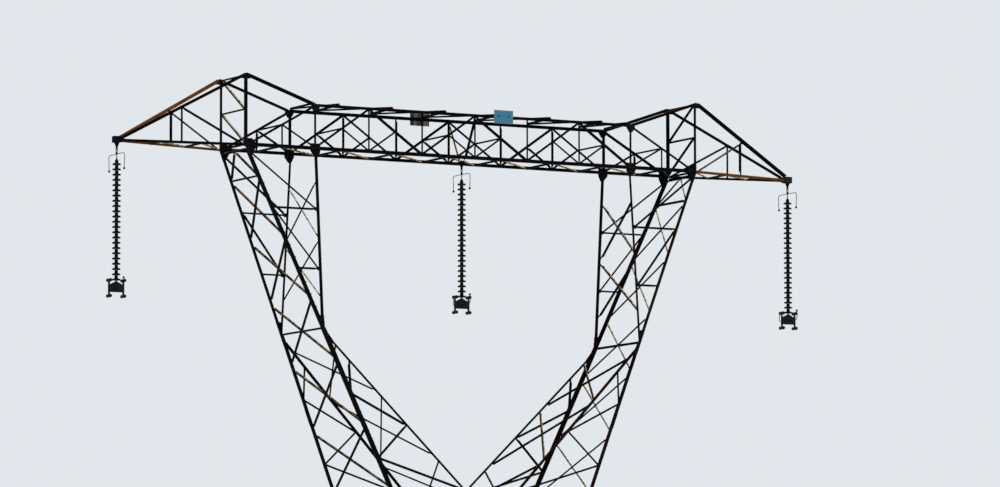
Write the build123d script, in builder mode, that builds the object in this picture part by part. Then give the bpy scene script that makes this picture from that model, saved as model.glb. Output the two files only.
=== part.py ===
from build123d import *
import math
import os

os.makedirs("parts", exist_ok=True)

# Lattice pylon with one flat row of three conductor bundles. X runs along the bridge, Y along the line,
# Z up. The origin is on the ground under the middle of the tower. Front is -Y. All sizes are millimetres.

# Heights and half widths of the working lines, which are the outer corners of the chords
BRIDGE_Z = 25800.0
TRUSS_HEIGHT = 1510.0
PEAK_HEIGHT = 2390.0
TIP_HEIGHT = 100.0
TIP_X = 12675.0
OUTER_X = 8510.0
INNER_X = 5950.0
BRIDGE_HALF_DEPTH = 935.0
TIP_HALF_DEPTH = 95.0
BRIDGE_PANELS = 6
ARM_PANELS = 3

KNEE_DROP = 5900.0
KNEE_X = 5980.0
WAIST_DROP = 12000.0
FACE_SLOPE = 0.098
BODY_SLOPE = 0.096

# Panel points of the forks: how many levels the knee is below the bridge, the part of the drop from knee to
# waist that one level takes, and where the braces that miss a whole level end
KNEE_LEVEL = 6
LOWER_OUTER_SHARE = 0.171
LOWER_INNER_SHARE = 0.168
FORK_HEAD_LEVEL = 0.12
FIRST_BRACE_LEVEL = 0.16
LAST_BRACE_LEVEL = 11.7
INSIDE_FIRST_LEVEL = 6.4
INSIDE_LAST_LEVEL = 11.6
LACING_SPREAD = 0.1

# The body: belts as parts of the waist's height, and the footings
UPPER_BELT_SHARE = 0.688
LOWER_BELT_SHARE = 0.377
PIER_TOP_Z = 450.0
PIER_SIZE = 900.0
PIER_CHAMFER = 60.0
SHOE_SIZE = 420.0
SHOE_THICKNESS = 32.0
SHOE_SINK = 4.0
STUB_LENGTH = 330.0
LEG_STEPS = 3
APEX_SHARE = 0.03

# Leg width and thickness of each size of steel angle
LEG_ANGLE = (150.0, 12.0)
FORK_ANGLE = (105.0, 12.0)
LOWER_FORK_ANGLE = (125.0, 12.0)
INNER_ANGLE = (75.0, 12.0)
CHORD_ANGLE = (100.0, 8.0)
BOTTOM_ANGLE = (110.0, 8.0)
ARM_ANGLE = (80.0, 8.0)
POST_ANGLE = (90.0, 8.0)
MAIN_BRACE = (75.0, 6.0)
MIDDLE_BRACE = (65.0, 6.0)
LIGHT_BRACE = (60.0, 5.0)
BODY_BRACE = (90.0, 8.0)
WAIST_BRACE = (150.0, 12.0)

# Where braces meet the chords: how far inside the corner their centre lines end, how far the standing
# leg is cut back there, and how far a chord stops short of the joint that its gusset plate covers
SEAT_FIT = 0.3
BELT_INSET = 60.0
BELT_SPREAD = 70.0
GAUGE = 65.0
INNER_GAUGE = 45.0
COPE = 110.0
BODY_COPE = 170.0
LACING_COPE = 40.0
FRAME_COPE = 20.0
STRUT_COPE = 85.0
JOINT_GAP = 30.0
END_GAP = 12.0
WEB_CLEARANCE = 10.0
GUSSET_THICKNESS = 10.0

# Insulator strings and their fittings
PIN_DROP = 205.0
LINK_LENGTH = 167.0
EYE_RADIUS = 26.0
EYE_PIN_RADIUS = 10.0
PIN_CLEARANCE = 0.3
PLATE_THICKNESS = 16.0
CHEEK_THICKNESS = 10.0
CHEEK_CLEARANCE = 3.0
EYE_RELIEF = 2.0
BLOCK_HEIGHT = 26.0
BLOCK_HALF = EYE_RADIUS
RING_RADIUS = 42.0
RING_HOLE_RADIUS = 20.0
PIN_HEAD = 9.0
ROD_RADIUS = 14.0
FIRST_DISC_DROP = 740.0
DISC_COUNT = 23
DISC_PITCH = 170.0
DISC_RADIUS = 140.0
CAP_RADIUS = 58.0
CAP_CROWN_RADIUS = 48.0
CAP_SHOULDER = 22.0
CAP_HEIGHT = 96.0
CAP_SEAT = 32.0
FIRST_SOCKET_HEIGHT = 48.0
FIRST_SOCKET_RADIUS = 22.0
PIN_RADIUS = 12.0
SHELL_FIT = 0.3
SHELL_LIP = 6.0
SHELL_RIM = 16.0
SHELL_BREAK = 50.0
SHELL_BREAK_SHARE = 0.62
SHELL_EDGE = 8.0
SHELL_EDGE_SHARE = 0.32
SHELL_VAULT = 4.0
RIB_DEPTH = 26.0
RIB_WIDTH = 6.0
RIB_FLARE = 3.5
RIB_INSET = 36.0
RIB_SPACING = 32.0
SKIRT_DEPTH = 32.0
SKIRT_RADIUS = 52.0
HORN_HALF_LENGTH = 600.0
HORN_LEAN = 40.0
HORN_DROP = 510.0
HORN_ROD_RADIUS = 11.0
HORN_BALL_RADIUS = 38.0
HORN_BEND_RADIUS = 110.0
HORN_FLANGE_RADIUS = 15.0
HORN_FLANGE = 8.0
LOWER_HORN_RISE = 305.0
SOCKET_RADIUS = 26.0
SOCKET_GAP = 4.0
SOCKET_OVERLAP = 8.0
BUNDLE_SPACING = 508.0
BUNDLE_DROP = 30.0
CONDUCTOR_RADIUS = 15.0
CLAMP_LENGTH = 220.0
CLAMP_RADIUS = 50.0
CLAMP_STRAP = 10.0
STRAP_HALF_WIDTH = 24.0
CLAMP_GAP = 16.0
CLAMP_BOLT_RADIUS = 9.0
EAR_OVERLAP = 48.0
YOKE_THICKNESS = 18.0
YOKE_HALF_WIDTH = 290.0
YOKE_SHOULDER = 130.0
YOKE_NECK_HALF = 45.0
YOKE_NECK_RISE = 88.0
YOKE_FOOT = 126.0
EAR_HALF_WIDTH = 32.0

# Hanger plates under the bridge: half widths and depths of their taper
HANGER_BROW = 95.0
HANGER_BROW_DROP = 40.0
HANGER_NECK = 55.0
HANGER_NECK_DROP = 128.0
HANGER_HOLE_RADIUS = 20.0

# Blank plates on the bridge
SIGN_WIDTH = 720.0
SIGN_HEIGHT = 445.0
SIGN_THICKNESS = 3.0
SIGN_X = 1080.0
SIGN_DROP = 38.0

# Values worked out from the ones above
WAIST_X = OUTER_X + (KNEE_X - OUTER_X) * WAIST_DROP / KNEE_DROP
KNEE_Z = BRIDGE_Z - KNEE_DROP
WAIST_Z = BRIDGE_Z - WAIST_DROP
UPPER_LEVEL = KNEE_DROP / KNEE_LEVEL
LOWER_OUTER_LEVEL = LOWER_OUTER_SHARE * (WAIST_DROP - KNEE_DROP)
LOWER_INNER_LEVEL = LOWER_INNER_SHARE * (WAIST_DROP - KNEE_DROP)
UPPER_BELT_Z = UPPER_BELT_SHARE * WAIST_Z
LOWER_BELT_Z = LOWER_BELT_SHARE * WAIST_Z
PANEL = 2 * INNER_X / BRIDGE_PANELS
TOP_Z = BRIDGE_Z + TRUSS_HEIGHT
PEAK_Z = BRIDGE_Z + PEAK_HEIGHT
X_AXIS = Vector(1, 0, 0)
Y_AXIS = Vector(0, 1, 0)
Z_AXIS = Vector(0, 0, 1)
FACE_NORMAL = Vector(0, 1, -FACE_SLOPE).normalized()


def half_depth(z):
    """Distance of the front and rear faces from the middle plane at a height."""
    return BRIDGE_HALF_DEPTH + FACE_SLOPE * max(0.0, BRIDGE_Z - z)


def outer_x(z):
    """Distance of the outer corner lines from the middle plane at a height."""
    if z >= WAIST_Z:
        return OUTER_X + (KNEE_X - OUTER_X) * (BRIDGE_Z - z) / KNEE_DROP
    return WAIST_X + BODY_SLOPE * (WAIST_Z - z)


def inner_x(z):
    """Distance of the forks' inner corner lines from the middle plane at a height."""
    if z >= KNEE_Z:
        return INNER_X + (KNEE_X - INNER_X) * (BRIDGE_Z - z) / KNEE_DROP
    return KNEE_X * (z - WAIST_Z) / (KNEE_Z - WAIST_Z)


def outer_level(level):
    """Height of a panel point on the forks' outer chords, counted down from the bridge."""
    if level <= KNEE_LEVEL:
        return BRIDGE_Z - UPPER_LEVEL * level
    return KNEE_Z - LOWER_OUTER_LEVEL * (level - KNEE_LEVEL)


def inner_level(level):
    """Height of a panel point on the forks' inner chords, counted down from the bridge."""
    if level <= KNEE_LEVEL:
        return BRIDGE_Z - UPPER_LEVEL * level
    return KNEE_Z - LOWER_INNER_LEVEL * (level - KNEE_LEVEL)


def front_point(x, z):
    """A point of the front face."""
    return Vector(x, -half_depth(z), z)


def angle_chord(start, end, toward_a, toward_b, size, gap_start=0.0, gap_end=0.0):
    """A steel angle whose outer corner runs from start to end, with its legs turned two ways."""
    width, thickness = size
    run = (end - start).normalized()
    first = start + run * gap_start
    length = (end - start).length - gap_start - gap_end
    leg_a = (toward_a - run * toward_a.dot(run)).normalized()
    leg_b = (toward_b - run * toward_b.dot(run)).normalized()
    section = Plane(origin=first, x_dir=leg_a, z_dir=run)
    a = Vector(1, 0)
    b = Vector(leg_b.dot(section.x_dir), leg_b.dot(section.y_dir))
    outline = [
        Vector(0, 0),
        a * width,
        a * width + b * thickness,
        a * thickness + b * thickness,
        b * width + a * thickness,
        b * width,
    ]
    with BuildSketch(section) as profile:
        with BuildLine():
            Polyline(*outline, close=True)
        make_face()
    extrude(profile.sketch, amount=length)


def strip(plane, start, end, width, offset=0.0, trim=0.0):
    """A flat strip between two points of a plane, moved sideways and shortened at both ends."""
    p = plane.to_local_coords(start)
    q = plane.to_local_coords(end)
    run = Vector(q.X - p.X, q.Y - p.Y)
    angle = math.degrees(math.atan2(run.Y, run.X))
    side = Vector(-run.Y, run.X).normalized()
    centre = Vector((p.X + q.X) / 2, (p.Y + q.Y) / 2) + side * offset
    with Locations(centre):
        Rectangle(run.length - 2 * trim, width, rotation=angle)


def flat_side(plane, size, bars, side=1, cope=COPE):
    """Steel angles of one size on a plane: flat legs against it and standing legs square to it."""
    width, thickness = size
    with BuildSketch(plane) as flats:
        for start, end in bars:
            strip(plane, start, end, width)
    extrude(flats.sketch, amount=thickness)
    with BuildSketch(plane) as legs:
        for start, end in bars:
            strip(plane, start, end, thickness, side * (width - thickness) / 2, cope)
    extrude(legs.sketch, amount=width)


def write(part, name):
    """Label a finished piece and write its file."""
    part.label = name
    export_step(part, f"parts/{name}.step")


# Footings: four concrete piers with a steel shoe under each leg
with BuildPart() as footings:
    for sx in (-1, 1):
        for sy in (-1, 1):
            centre = (sx * outer_x(0), sy * half_depth(0))
            with BuildSketch(Plane.XY) as pier:
                with Locations(centre):
                    Rectangle(PIER_SIZE, PIER_SIZE)
            extrude(pier.sketch, amount=PIER_TOP_Z)
    rims = footings.faces().filter_by(Axis.Z).group_by(Axis.Z)[-1].edges()
    chamfer(rims, PIER_CHAMFER)
write(footings.part, "footings")

# Body legs with their base shoes
SHOE_TOP_Z = PIER_TOP_Z + SHOE_THICKNESS
with BuildPart() as body_legs:
    foot = Vector(-outer_x(SHOE_TOP_Z), -half_depth(SHOE_TOP_Z), SHOE_TOP_Z)
    waist = Vector(-WAIST_X, -half_depth(WAIST_Z), WAIST_Z)
    angle_chord(foot, waist, X_AXIS, Y_AXIS, LEG_ANGLE, 0.0, JOINT_GAP)
    with BuildSketch(Plane.XY.offset(PIER_TOP_Z)) as shoe:
        with Locations((-outer_x(0), -half_depth(0))):
            Rectangle(SHOE_SIZE, SHOE_SIZE)
    extrude(shoe.sketch, amount=SHOE_THICKNESS + SHOE_SINK)
    mirror(about=Plane.YZ)
    mirror(about=Plane.XZ)
write(body_legs.part, "body_legs")


def body_bars(corner, belts):
    """Braces of one side of the body above the lower belt: belts, crosses and mid-height ties."""
    bars = []
    for upper, lower in zip(belts, belts[1:]):
        half = (upper + lower) / 2
        bars += [(corner(-1, upper), corner(1, lower)), (corner(1, upper), corner(-1, lower))]
        bars += [(corner(-1, half), corner(1, half)), (corner(-1, lower), corner(1, lower))]
    return bars


def body_side(plane, corner):
    """Braces of one side: the crossed panels, then two braced legs that leave the middle open."""
    top = WAIST_Z - WAIST_BRACE[0] / 2 - JOINT_GAP - GAUGE
    flat_side(plane, BODY_BRACE, body_bars(corner, (top, UPPER_BELT_Z, LOWER_BELT_Z)), cope=BODY_COPE)
    crown = LOWER_BELT_Z - 1.5 * BODY_BRACE[0]
    low = SHOE_TOP_Z + STUB_LENGTH
    heights = [low + (crown - low) * k / LEG_STEPS for k in range(LEG_STEPS + 1)]
    for side in (-1, 1):
        foot = corner(side, heights[0])
        middle = (corner(-1, crown) + corner(1, crown)) / 2
        apex = middle + (corner(side, crown) - middle) * APEX_SHARE
        rungs = [foot + (apex - foot) * (k / LEG_STEPS) for k in range(LEG_STEPS + 1)]
        flat_side(plane, BODY_BRACE, [(foot, apex)], cope=BODY_COPE)
        flat_side(plane, MAIN_BRACE, [(corner(side, heights[k]), rungs[k]) for k in (1, 2)])
        flat_side(plane, LIGHT_BRACE, [(rungs[k], corner(side, heights[k + 1])) for k in (1, 2)])


def mirrored(part, plane, name):
    """Write the mirror image of a piece."""
    with BuildPart() as other:
        mirror(part, about=plane)
    write(other.part, name)


MAIN_T = LEG_ANGLE[1]
FACE = Plane(origin=front_point(0, BRIDGE_Z) + FACE_NORMAL * MAIN_T, x_dir=X_AXIS, z_dir=FACE_NORMAL)
SIDE_NORMAL = Vector(1, 0, -BODY_SLOPE).normalized()
WAIST_SIDE = Vector(-WAIST_X, 0, WAIST_Z)
BODY_SIDE = Plane(origin=WAIST_SIDE + SIDE_NORMAL * MAIN_T, x_dir=Y_AXIS, z_dir=SIDE_NORMAL)


def front_corner(side, z):
    """A panel point near a corner of the front side of the body."""
    return front_point(side * (outer_x(z) - GAUGE), z)


def left_corner(side, z):
    """A panel point near a corner of the left side of the body or of the left fork's outer side."""
    return Vector(-outer_x(z), side * (half_depth(z) - GAUGE), z)


with BuildPart() as body_front:
    body_side(FACE, front_corner)
write(body_front.part, "body_bracing_front")
mirrored(body_front.part, Plane.XZ, "body_bracing_rear")
with BuildPart() as body_left:
    body_side(BODY_SIDE, left_corner)
write(body_left.part, "body_bracing_left")
mirrored(body_left.part, Plane.YZ, "body_bracing_right")

# Level frames inside the body: a diamond at the lower belt, and the waist that carries the forks
BELT_TOP_Z = LOWER_BELT_Z + MAIN_BRACE[1]
FLAT_DEPTH = (MAIN_T + BODY_BRACE[1]) * math.hypot(1, BODY_SLOPE)
BELT_END_X = outer_x(BELT_TOP_Z) - FLAT_DEPTH - SEAT_FIT
BELT_END_Y = half_depth(BELT_TOP_Z) - FLAT_DEPTH - SEAT_FIT
BELT_PLANE = Plane.XY.offset(LOWER_BELT_Z)
with BuildPart() as belt_diamond:
    side_end = Vector(-BELT_END_X + BELT_INSET, -BELT_SPREAD, LOWER_BELT_Z)
    front_end = Vector(-BELT_SPREAD, -BELT_END_Y + BELT_INSET, LOWER_BELT_Z)
    flat_side(BELT_PLANE, MAIN_BRACE, [(side_end, front_end)])
    with BuildSketch(BELT_PLANE) as lugs:
        for end, axis in ((side_end, X_AXIS), (front_end, Y_AXIS)):
            inner_end = end + axis * BELT_INSET / 2
            strip(BELT_PLANE, inner_end, end - axis * BELT_INSET, MAIN_BRACE[0])
    extrude(lugs.sketch, amount=MAIN_BRACE[1])
    mirror(about=Plane.YZ)
    mirror(about=Plane.XZ)
write(belt_diamond.part, "belt_diamond")

with BuildPart() as waist_frame:
    flat_side(FACE, WAIST_BRACE, [(front_corner(-1, WAIST_Z), front_corner(1, WAIST_Z))], cope=BODY_COPE)
    mirror(about=Plane.XZ)
    flat_side(BODY_SIDE, WAIST_BRACE, [(left_corner(-1, WAIST_Z), left_corner(1, WAIST_Z))], cope=BODY_COPE)
    mirror(about=Plane.YZ)
write(waist_frame.part, "waist_frame")

# Forks: the outer chords run straight from bridge to waist, and the inner ones bend at the knee. The
# inner chords lie one thickness deeper, so that they lap behind the outer ones. Above the knee their flat
# legs point into the window, below it into the fork.
OUTER_SLOPE = (OUTER_X - KNEE_X) / KNEE_DROP
INNER_SLOPE = (INNER_X - KNEE_X) / KNEE_DROP
LOWER_SLOPE = KNEE_X / (KNEE_Z - WAIST_Z)
LOWER_STRETCH = math.hypot(1, LOWER_SLOPE)
LAP = Y_AXIS * (MAIN_T / FACE_NORMAL.Y)
FORK_TOP_GAP = FORK_ANGLE[0] * OUTER_SLOPE + JOINT_GAP
KNEE_CLEAR_UP = 3 * MAIN_T / (OUTER_SLOPE - INNER_SLOPE)
KNEE_CLEAR_DOWN = (INNER_ANGLE[0] * LOWER_STRETCH + 2 * MAIN_T) / (LOWER_SLOPE - OUTER_SLOPE)
CROTCH_CLEAR = 260.0

with BuildPart() as fork_chords:
    top = front_point(-OUTER_X, BRIDGE_Z)
    bend = front_point(-KNEE_X, KNEE_Z)
    angle_chord(top, bend, X_AXIS, Y_AXIS, FORK_ANGLE, FORK_TOP_GAP)
    angle_chord(bend, front_point(-WAIST_X, WAIST_Z), X_AXIS, Y_AXIS, LOWER_FORK_ANGLE, 0.0, JOINT_GAP)
    shoulder = front_point(-INNER_X, BRIDGE_Z) + LAP
    knee = front_point(-KNEE_X, KNEE_Z) + LAP
    crotch = front_point(0, WAIST_Z) + LAP
    angle_chord(shoulder, knee, X_AXIS, Y_AXIS, INNER_ANGLE, JOINT_GAP, KNEE_CLEAR_UP)
    angle_chord(knee, crotch, -X_AXIS, Y_AXIS, INNER_ANGLE, KNEE_CLEAR_DOWN * LOWER_STRETCH, CROTCH_CLEAR)
    mirror(about=Plane.XZ)
write(fork_chords.part, "fork_chords_left")
mirrored(fork_chords.part, Plane.YZ, "fork_chords_right")


def fork_outer(level):
    """Panel point of the fork's front side at its outer chord."""
    z = outer_level(level)
    return front_point(-outer_x(z) + GAUGE * math.hypot(1, OUTER_SLOPE), z)


def fork_inner(level):
    """Panel point of the fork's front side at its inner chord."""
    z = inner_level(level)
    if level <= KNEE_LEVEL:
        return front_point(-inner_x(z) - INNER_GAUGE, z)
    return front_point(-inner_x(z) - INNER_GAUGE * LOWER_STRETCH, z)


FORK_FACE = FACE.offset(MAIN_T)
UPPER_NODES = (FIRST_BRACE_LEVEL, 2, 4)
LOWER_NODES = (7, 8, 9, 10, 11, LAST_BRACE_LEVEL)


def packers(points, half_width, slope):
    """Plates in the lap between the braces and the chord's plane."""
    with BuildSketch(FACE) as plates:
        for point in points:
            local = FACE.to_local_coords(point)
            with Locations((local.X, local.Y)):
                Rectangle(2 * half_width, 2 * GAUGE, rotation=-math.degrees(math.atan(slope)))
    extrude(plates.sketch, amount=MAIN_T)


with BuildPart() as upper_web:
    diagonals = [(fork_outer(a), fork_inner(b)) for a, b in zip(UPPER_NODES, UPPER_NODES[1:])]
    flat_side(FORK_FACE, LIGHT_BRACE, diagonals, side=-1)
    flat_side(FORK_FACE, LIGHT_BRACE, [(fork_outer(a), fork_inner(a)) for a in UPPER_NODES[1:]])
    packers([fork_outer(a) for a in UPPER_NODES], FORK_ANGLE[0] - GAUGE, OUTER_SLOPE)
    packers([fork_inner(a) for a in UPPER_NODES[1:]], INNER_GAUGE - SEAT_FIT, INNER_SLOPE)
with BuildPart() as lower_web:
    zigzag = [fork_inner(a) if a % 2 == 1 else fork_outer(a) for a in LOWER_NODES]
    flat_side(FORK_FACE, MIDDLE_BRACE, list(zip(zigzag, zigzag[1:])))
    packers(zigzag[1::2], GAUGE - MAIN_T - 1.0, OUTER_SLOPE)
with BuildPart() as fork_webs:
    add([upper_web.part, lower_web.part])
    mirror(about=Plane.XZ)
write(fork_webs.part, "fork_webs_left")
mirrored(fork_webs.part, Plane.YZ, "fork_webs_right")


def crossed(point, levels):
    """Crossed braces between the front and rear chords, one cross for each pair of levels."""
    bars = []
    for upper, lower in zip(levels, levels[1:]):
        high = upper + LACING_SPREAD
        low = lower - LACING_SPREAD
        bars += [(point(-1, high), point(1, low)), (point(1, high), point(-1, low))]
    return bars


def outer_side_point(side, level):
    """Panel point of the fork's outer side, at the front or rear chord."""
    return left_corner(side, outer_level(level))


def inner_side_point(side, level):
    """Panel point of the fork's inner side, at the front or rear chord."""
    z = inner_level(level)
    return Vector(-inner_x(z), side * (half_depth(z) - GAUGE - MAIN_T), z)


def side_plane(origin, normal, depth):
    """A plane across the fork on which the lacing lies, at a depth behind a chord's corner line."""
    return Plane(origin=origin + normal * depth, x_dir=Y_AXIS, z_dir=normal)


OUTER_NORMAL = Vector(1, 0, OUTER_SLOPE).normalized()
INNER_NORMAL = Vector(-1, 0, -INNER_SLOPE).normalized()
LOWER_NORMAL = Vector(-1, 0, -LOWER_SLOPE).normalized()
FORK_OUTSIDE = side_plane(Vector(-OUTER_X, 0, BRIDGE_Z), OUTER_NORMAL, MAIN_T)
UPPER_INSIDE = side_plane(Vector(-INNER_X, 0, BRIDGE_Z), INNER_NORMAL, 0.0)
LOWER_INSIDE = side_plane(Vector(0, 0, WAIST_Z), LOWER_NORMAL, MAIN_T)
OUTSIDE_LEVELS = (1, 3, 5, 7, 9, 11)

with BuildPart() as fork_outside:
    heads = [outer_side_point(side, FORK_HEAD_LEVEL) for side in (-1, 1)]
    crown = (heads[0] + heads[1]) / 2
    flat_side(FORK_OUTSIDE, MAIN_BRACE, [(heads[0], heads[1])])
    knees = [(crown, outer_side_point(side, 1)) for side in (-1, 1)]
    ties = [(outer_side_point(-1, a), outer_side_point(1, a)) for a in (1, KNEE_LEVEL)]
    flat_side(FORK_OUTSIDE, LIGHT_BRACE, ties)
    flat_side(FORK_OUTSIDE, LIGHT_BRACE, knees + crossed(outer_side_point, OUTSIDE_LEVELS), side=-1)
write(fork_outside.part, "fork_outer_lacing_left")
mirrored(fork_outside.part, Plane.YZ, "fork_outer_lacing_right")

with BuildPart() as fork_inside:
    flat_side(UPPER_INSIDE, LIGHT_BRACE, crossed(inner_side_point, (1, 3, 5)))
    steps = (INSIDE_FIRST_LEVEL, 8, 10, INSIDE_LAST_LEVEL)
    flat_side(LOWER_INSIDE, LIGHT_BRACE, crossed(inner_side_point, steps))
write(fork_inside.part, "fork_inner_lacing_left")
mirrored(fork_inside.part, Plane.YZ, "fork_inner_lacing_right")

# Bridge chords: tip to tip along the bottom, and over the two peaks along the top. The sloping top chords
# have their corner on the inside, with one leg in the bridge's side and the other outward over the plates.
ARM_RUN = Vector(TIP_X - OUTER_X, TIP_HALF_DEPTH - BRIDGE_HALF_DEPTH, 0)
ARM_NORMAL = Vector(-ARM_RUN.Y, ARM_RUN.X, 0).normalized()
tip_low = Vector(-TIP_X, -TIP_HALF_DEPTH, BRIDGE_Z)
outer_low = Vector(-OUTER_X, -BRIDGE_HALF_DEPTH, BRIDGE_Z)
peak = Vector(-OUTER_X, -BRIDGE_HALF_DEPTH, PEAK_Z)
shoulder_top = Vector(-INNER_X, -BRIDGE_HALF_DEPTH, TOP_Z)
ARM_SLOPE = (PEAK_HEIGHT - TIP_HEIGHT) / (TIP_X - OUTER_X)
SIDE_SLOPE = (PEAK_HEIGHT - TIP_HEIGHT) / ARM_RUN.length
ROOF_DEPTH = CHORD_ANGLE[1] * math.hypot(1, ARM_SLOPE) + SEAT_FIT
TIP_CLEAR = (ARM_ANGLE[0] + CHORD_ANGLE[0] * math.hypot(1, ARM_SLOPE) - TIP_HEIGHT + END_GAP) / ARM_SLOPE

with BuildPart() as bottom_chords:
    angle_chord(tip_low, outer_low, Z_AXIS, Y_AXIS, ARM_ANGLE, JOINT_GAP, END_GAP)
    mirror(about=Plane.YZ)
    far_end = Vector(OUTER_X, outer_low.Y, BRIDGE_Z)
    angle_chord(outer_low, far_end, Z_AXIS, Y_AXIS, BOTTOM_ANGLE, END_GAP, END_GAP)
    mirror(about=Plane.XZ)
write(bottom_chords.part, "bridge_bottom_chords")

with BuildPart() as top_chords:
    inward = ARM_NORMAL * CHORD_ANGLE[1]
    tip_top = tip_low + Z_AXIS * TIP_HEIGHT
    angle_chord(tip_top + inward, peak + inward, -Z_AXIS, -ARM_NORMAL, CHORD_ANGLE, TIP_CLEAR, 2 * JOINT_GAP)
    inward = Y_AXIS * CHORD_ANGLE[1]
    angle_chord(peak + inward, shoulder_top + inward, -Z_AXIS, -Y_AXIS, CHORD_ANGLE, JOINT_GAP, JOINT_GAP)
    mirror(about=Plane.YZ)
    far_shoulder = Vector(INNER_X, shoulder_top.Y, TOP_Z)
    angle_chord(shoulder_top, far_shoulder, -Z_AXIS, Y_AXIS, CHORD_ANGLE, END_GAP, END_GAP)
    mirror(about=Plane.XZ)
write(top_chords.part, "bridge_top_chords")

# Bridge sides: posts, long diagonals and the short ones that meet them at mid-length
CHORD_T = CHORD_ANGLE[1]
BRIDGE_FACE = Plane(origin=(0, -BRIDGE_HALF_DEPTH + CHORD_T, 0), x_dir=X_AXIS, z_dir=Y_AXIS)


def bridge_point(panel, height):
    """A point of the bridge's front side at a panel count from the left inner node."""
    return Vector(-INNER_X + panel * PANEL, -BRIDGE_HALF_DEPTH, BRIDGE_Z + height)


LOW = GAUGE
HIGH = TRUSS_HEIGHT - GAUGE
MIDDLE = (LOW + HIGH) / 2
OUTER_PANEL = (OUTER_X - INNER_X - POST_ANGLE[0] - MAIN_BRACE[0] / 2 - WEB_CLEARANCE) / PANEL

with BuildPart() as bridge_web:
    end_posts = [(bridge_point(k, LOW), bridge_point(k, HIGH)) for k in (0, BRIDGE_PANELS)]
    posts = [(bridge_point(k, LOW), bridge_point(k, HIGH)) for k in range(1, BRIDGE_PANELS)]
    longs = []
    shorts = []
    for k in range(BRIDGE_PANELS):
        rises = k % 2 == 0
        start, finish = (LOW, HIGH) if rises else (HIGH, LOW)
        longs.append((bridge_point(k, start), bridge_point(k + 1, finish)))
        foot = k + 1 if rises else k
        shorts.append((bridge_point(foot, LOW), bridge_point(k + 0.5, MIDDLE)))
    for inner, way in ((0, -1), (BRIDGE_PANELS, 1)):
        outer = inner + way * OUTER_PANEL
        half = (inner + outer) / 2
        longs.append((bridge_point(outer, LOW), bridge_point(inner, HIGH)))
        shorts.append((bridge_point(inner, LOW), bridge_point(half, MIDDLE)))
        posts.append((bridge_point(half, LOW), bridge_point(half, MIDDLE)))
    flat_side(BRIDGE_FACE, MAIN_BRACE, longs + end_posts)
    flat_side(BRIDGE_FACE, LIGHT_BRACE, posts + shorts)
write(bridge_web.part, "bridge_web_front")
mirrored(bridge_web.part, Plane.XZ, "bridge_web_rear")

# Level lacing of the bridge. Its diagonals all lean one way, so front and rear are not mirror images.
BOTTOM_FACE = Plane.XY.offset(BRIDGE_Z + CHORD_T)
TOP_FACE = Plane.XY.offset(TOP_Z)
HALF_PANELS = [k + 0.5 for k in range(BRIDGE_PANELS)]
MID_OUTER_X = (OUTER_X + INNER_X) / 2


def arm_depth(x):
    """Half depth of the arms at a distance from the middle plane."""
    return BRIDGE_HALF_DEPTH + (TIP_HALF_DEPTH - BRIDGE_HALF_DEPTH) * (x - OUTER_X) / (TIP_X - OUTER_X)


def lacing_point(x, side, z):
    """A point of the level lacing near the front or rear chord."""
    depth = arm_depth(max(abs(x), OUTER_X))
    return Vector(x, side * (depth - GAUGE), z)


def panel_x(panel):
    """Distance along the bridge of a panel count from the left inner node."""
    return -INNER_X + panel * PANEL


arm_stations = [OUTER_X + (TIP_X - OUTER_X) * k / ARM_PANELS for k in range(ARM_PANELS)]
right_stations = [MID_OUTER_X] + arm_stations
left_stations = [-x for x in reversed(right_stations)]
stations = left_stations + [panel_x(k) for k in HALF_PANELS] + right_stations

with BuildPart() as bottom_lacing:
    bars = [(lacing_point(x, -1, BRIDGE_Z), lacing_point(x, 1, BRIDGE_Z)) for x in stations]
    for x, following in zip(stations, stations[1:]):
        bars.append((lacing_point(x, -1, BRIDGE_Z), lacing_point(following, 1, BRIDGE_Z)))
    flat_side(BOTTOM_FACE, LIGHT_BRACE, bars, cope=LACING_COPE)
write(bottom_lacing.part, "bridge_bottom_lacing")

# The top lacing lies on the chords, and the front ends of its diagonals stick out past them
STUB_BACK = 160.0
STUB_OUT = 65.0
with BuildPart() as top_lacing:
    places = [panel_x(0)] + [panel_x(k) for k in HALF_PANELS] + [panel_x(BRIDGE_PANELS)]
    bars = [(lacing_point(x, -1, TOP_Z), lacing_point(x, 1, TOP_Z)) for x in places]
    flat_side(TOP_FACE, LIGHT_BRACE, bars, cope=LACING_COPE)
    diagonals = []
    for x, following in zip(places, places[1:]):
        end = lacing_point(following - STUB_BACK, -1, TOP_Z)
        behind_plate = abs(end.X - SIGN_X) < SIGN_WIDTH / 2
        reach = 0.0 if behind_plate else GAUGE + STUB_OUT
        diagonals.append((lacing_point(x, 1, TOP_Z), end - Y_AXIS * reach))
    flat_side(TOP_FACE, LIGHT_BRACE, diagonals, cope=0.0)
write(top_lacing.part, "bridge_top_lacing")

# Struts through the bridge at mid-height, between the long diagonals of its two sides
STRUT_REACH = BRIDGE_HALF_DEPTH - CHORD_T - MAIN_BRACE[1]
with BuildPart() as mid_struts:
    half = OUTER_PANEL / 2
    for panel in (-half, 0.5, 2.5, 3.5, 5.5, BRIDGE_PANELS + half):
        middle = Vector(panel_x(panel), 0, BRIDGE_Z + MIDDLE)
        flat_side(
            Plane(origin=middle, x_dir=Y_AXIS, z_dir=X_AXIS),
            LIGHT_BRACE,
            [(middle - Y_AXIS * STRUT_REACH, middle + Y_AXIS * STRUT_REACH)],
            cope=STRUT_COPE,
        )
write(mid_struts.part, "bridge_mid_struts")


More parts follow.
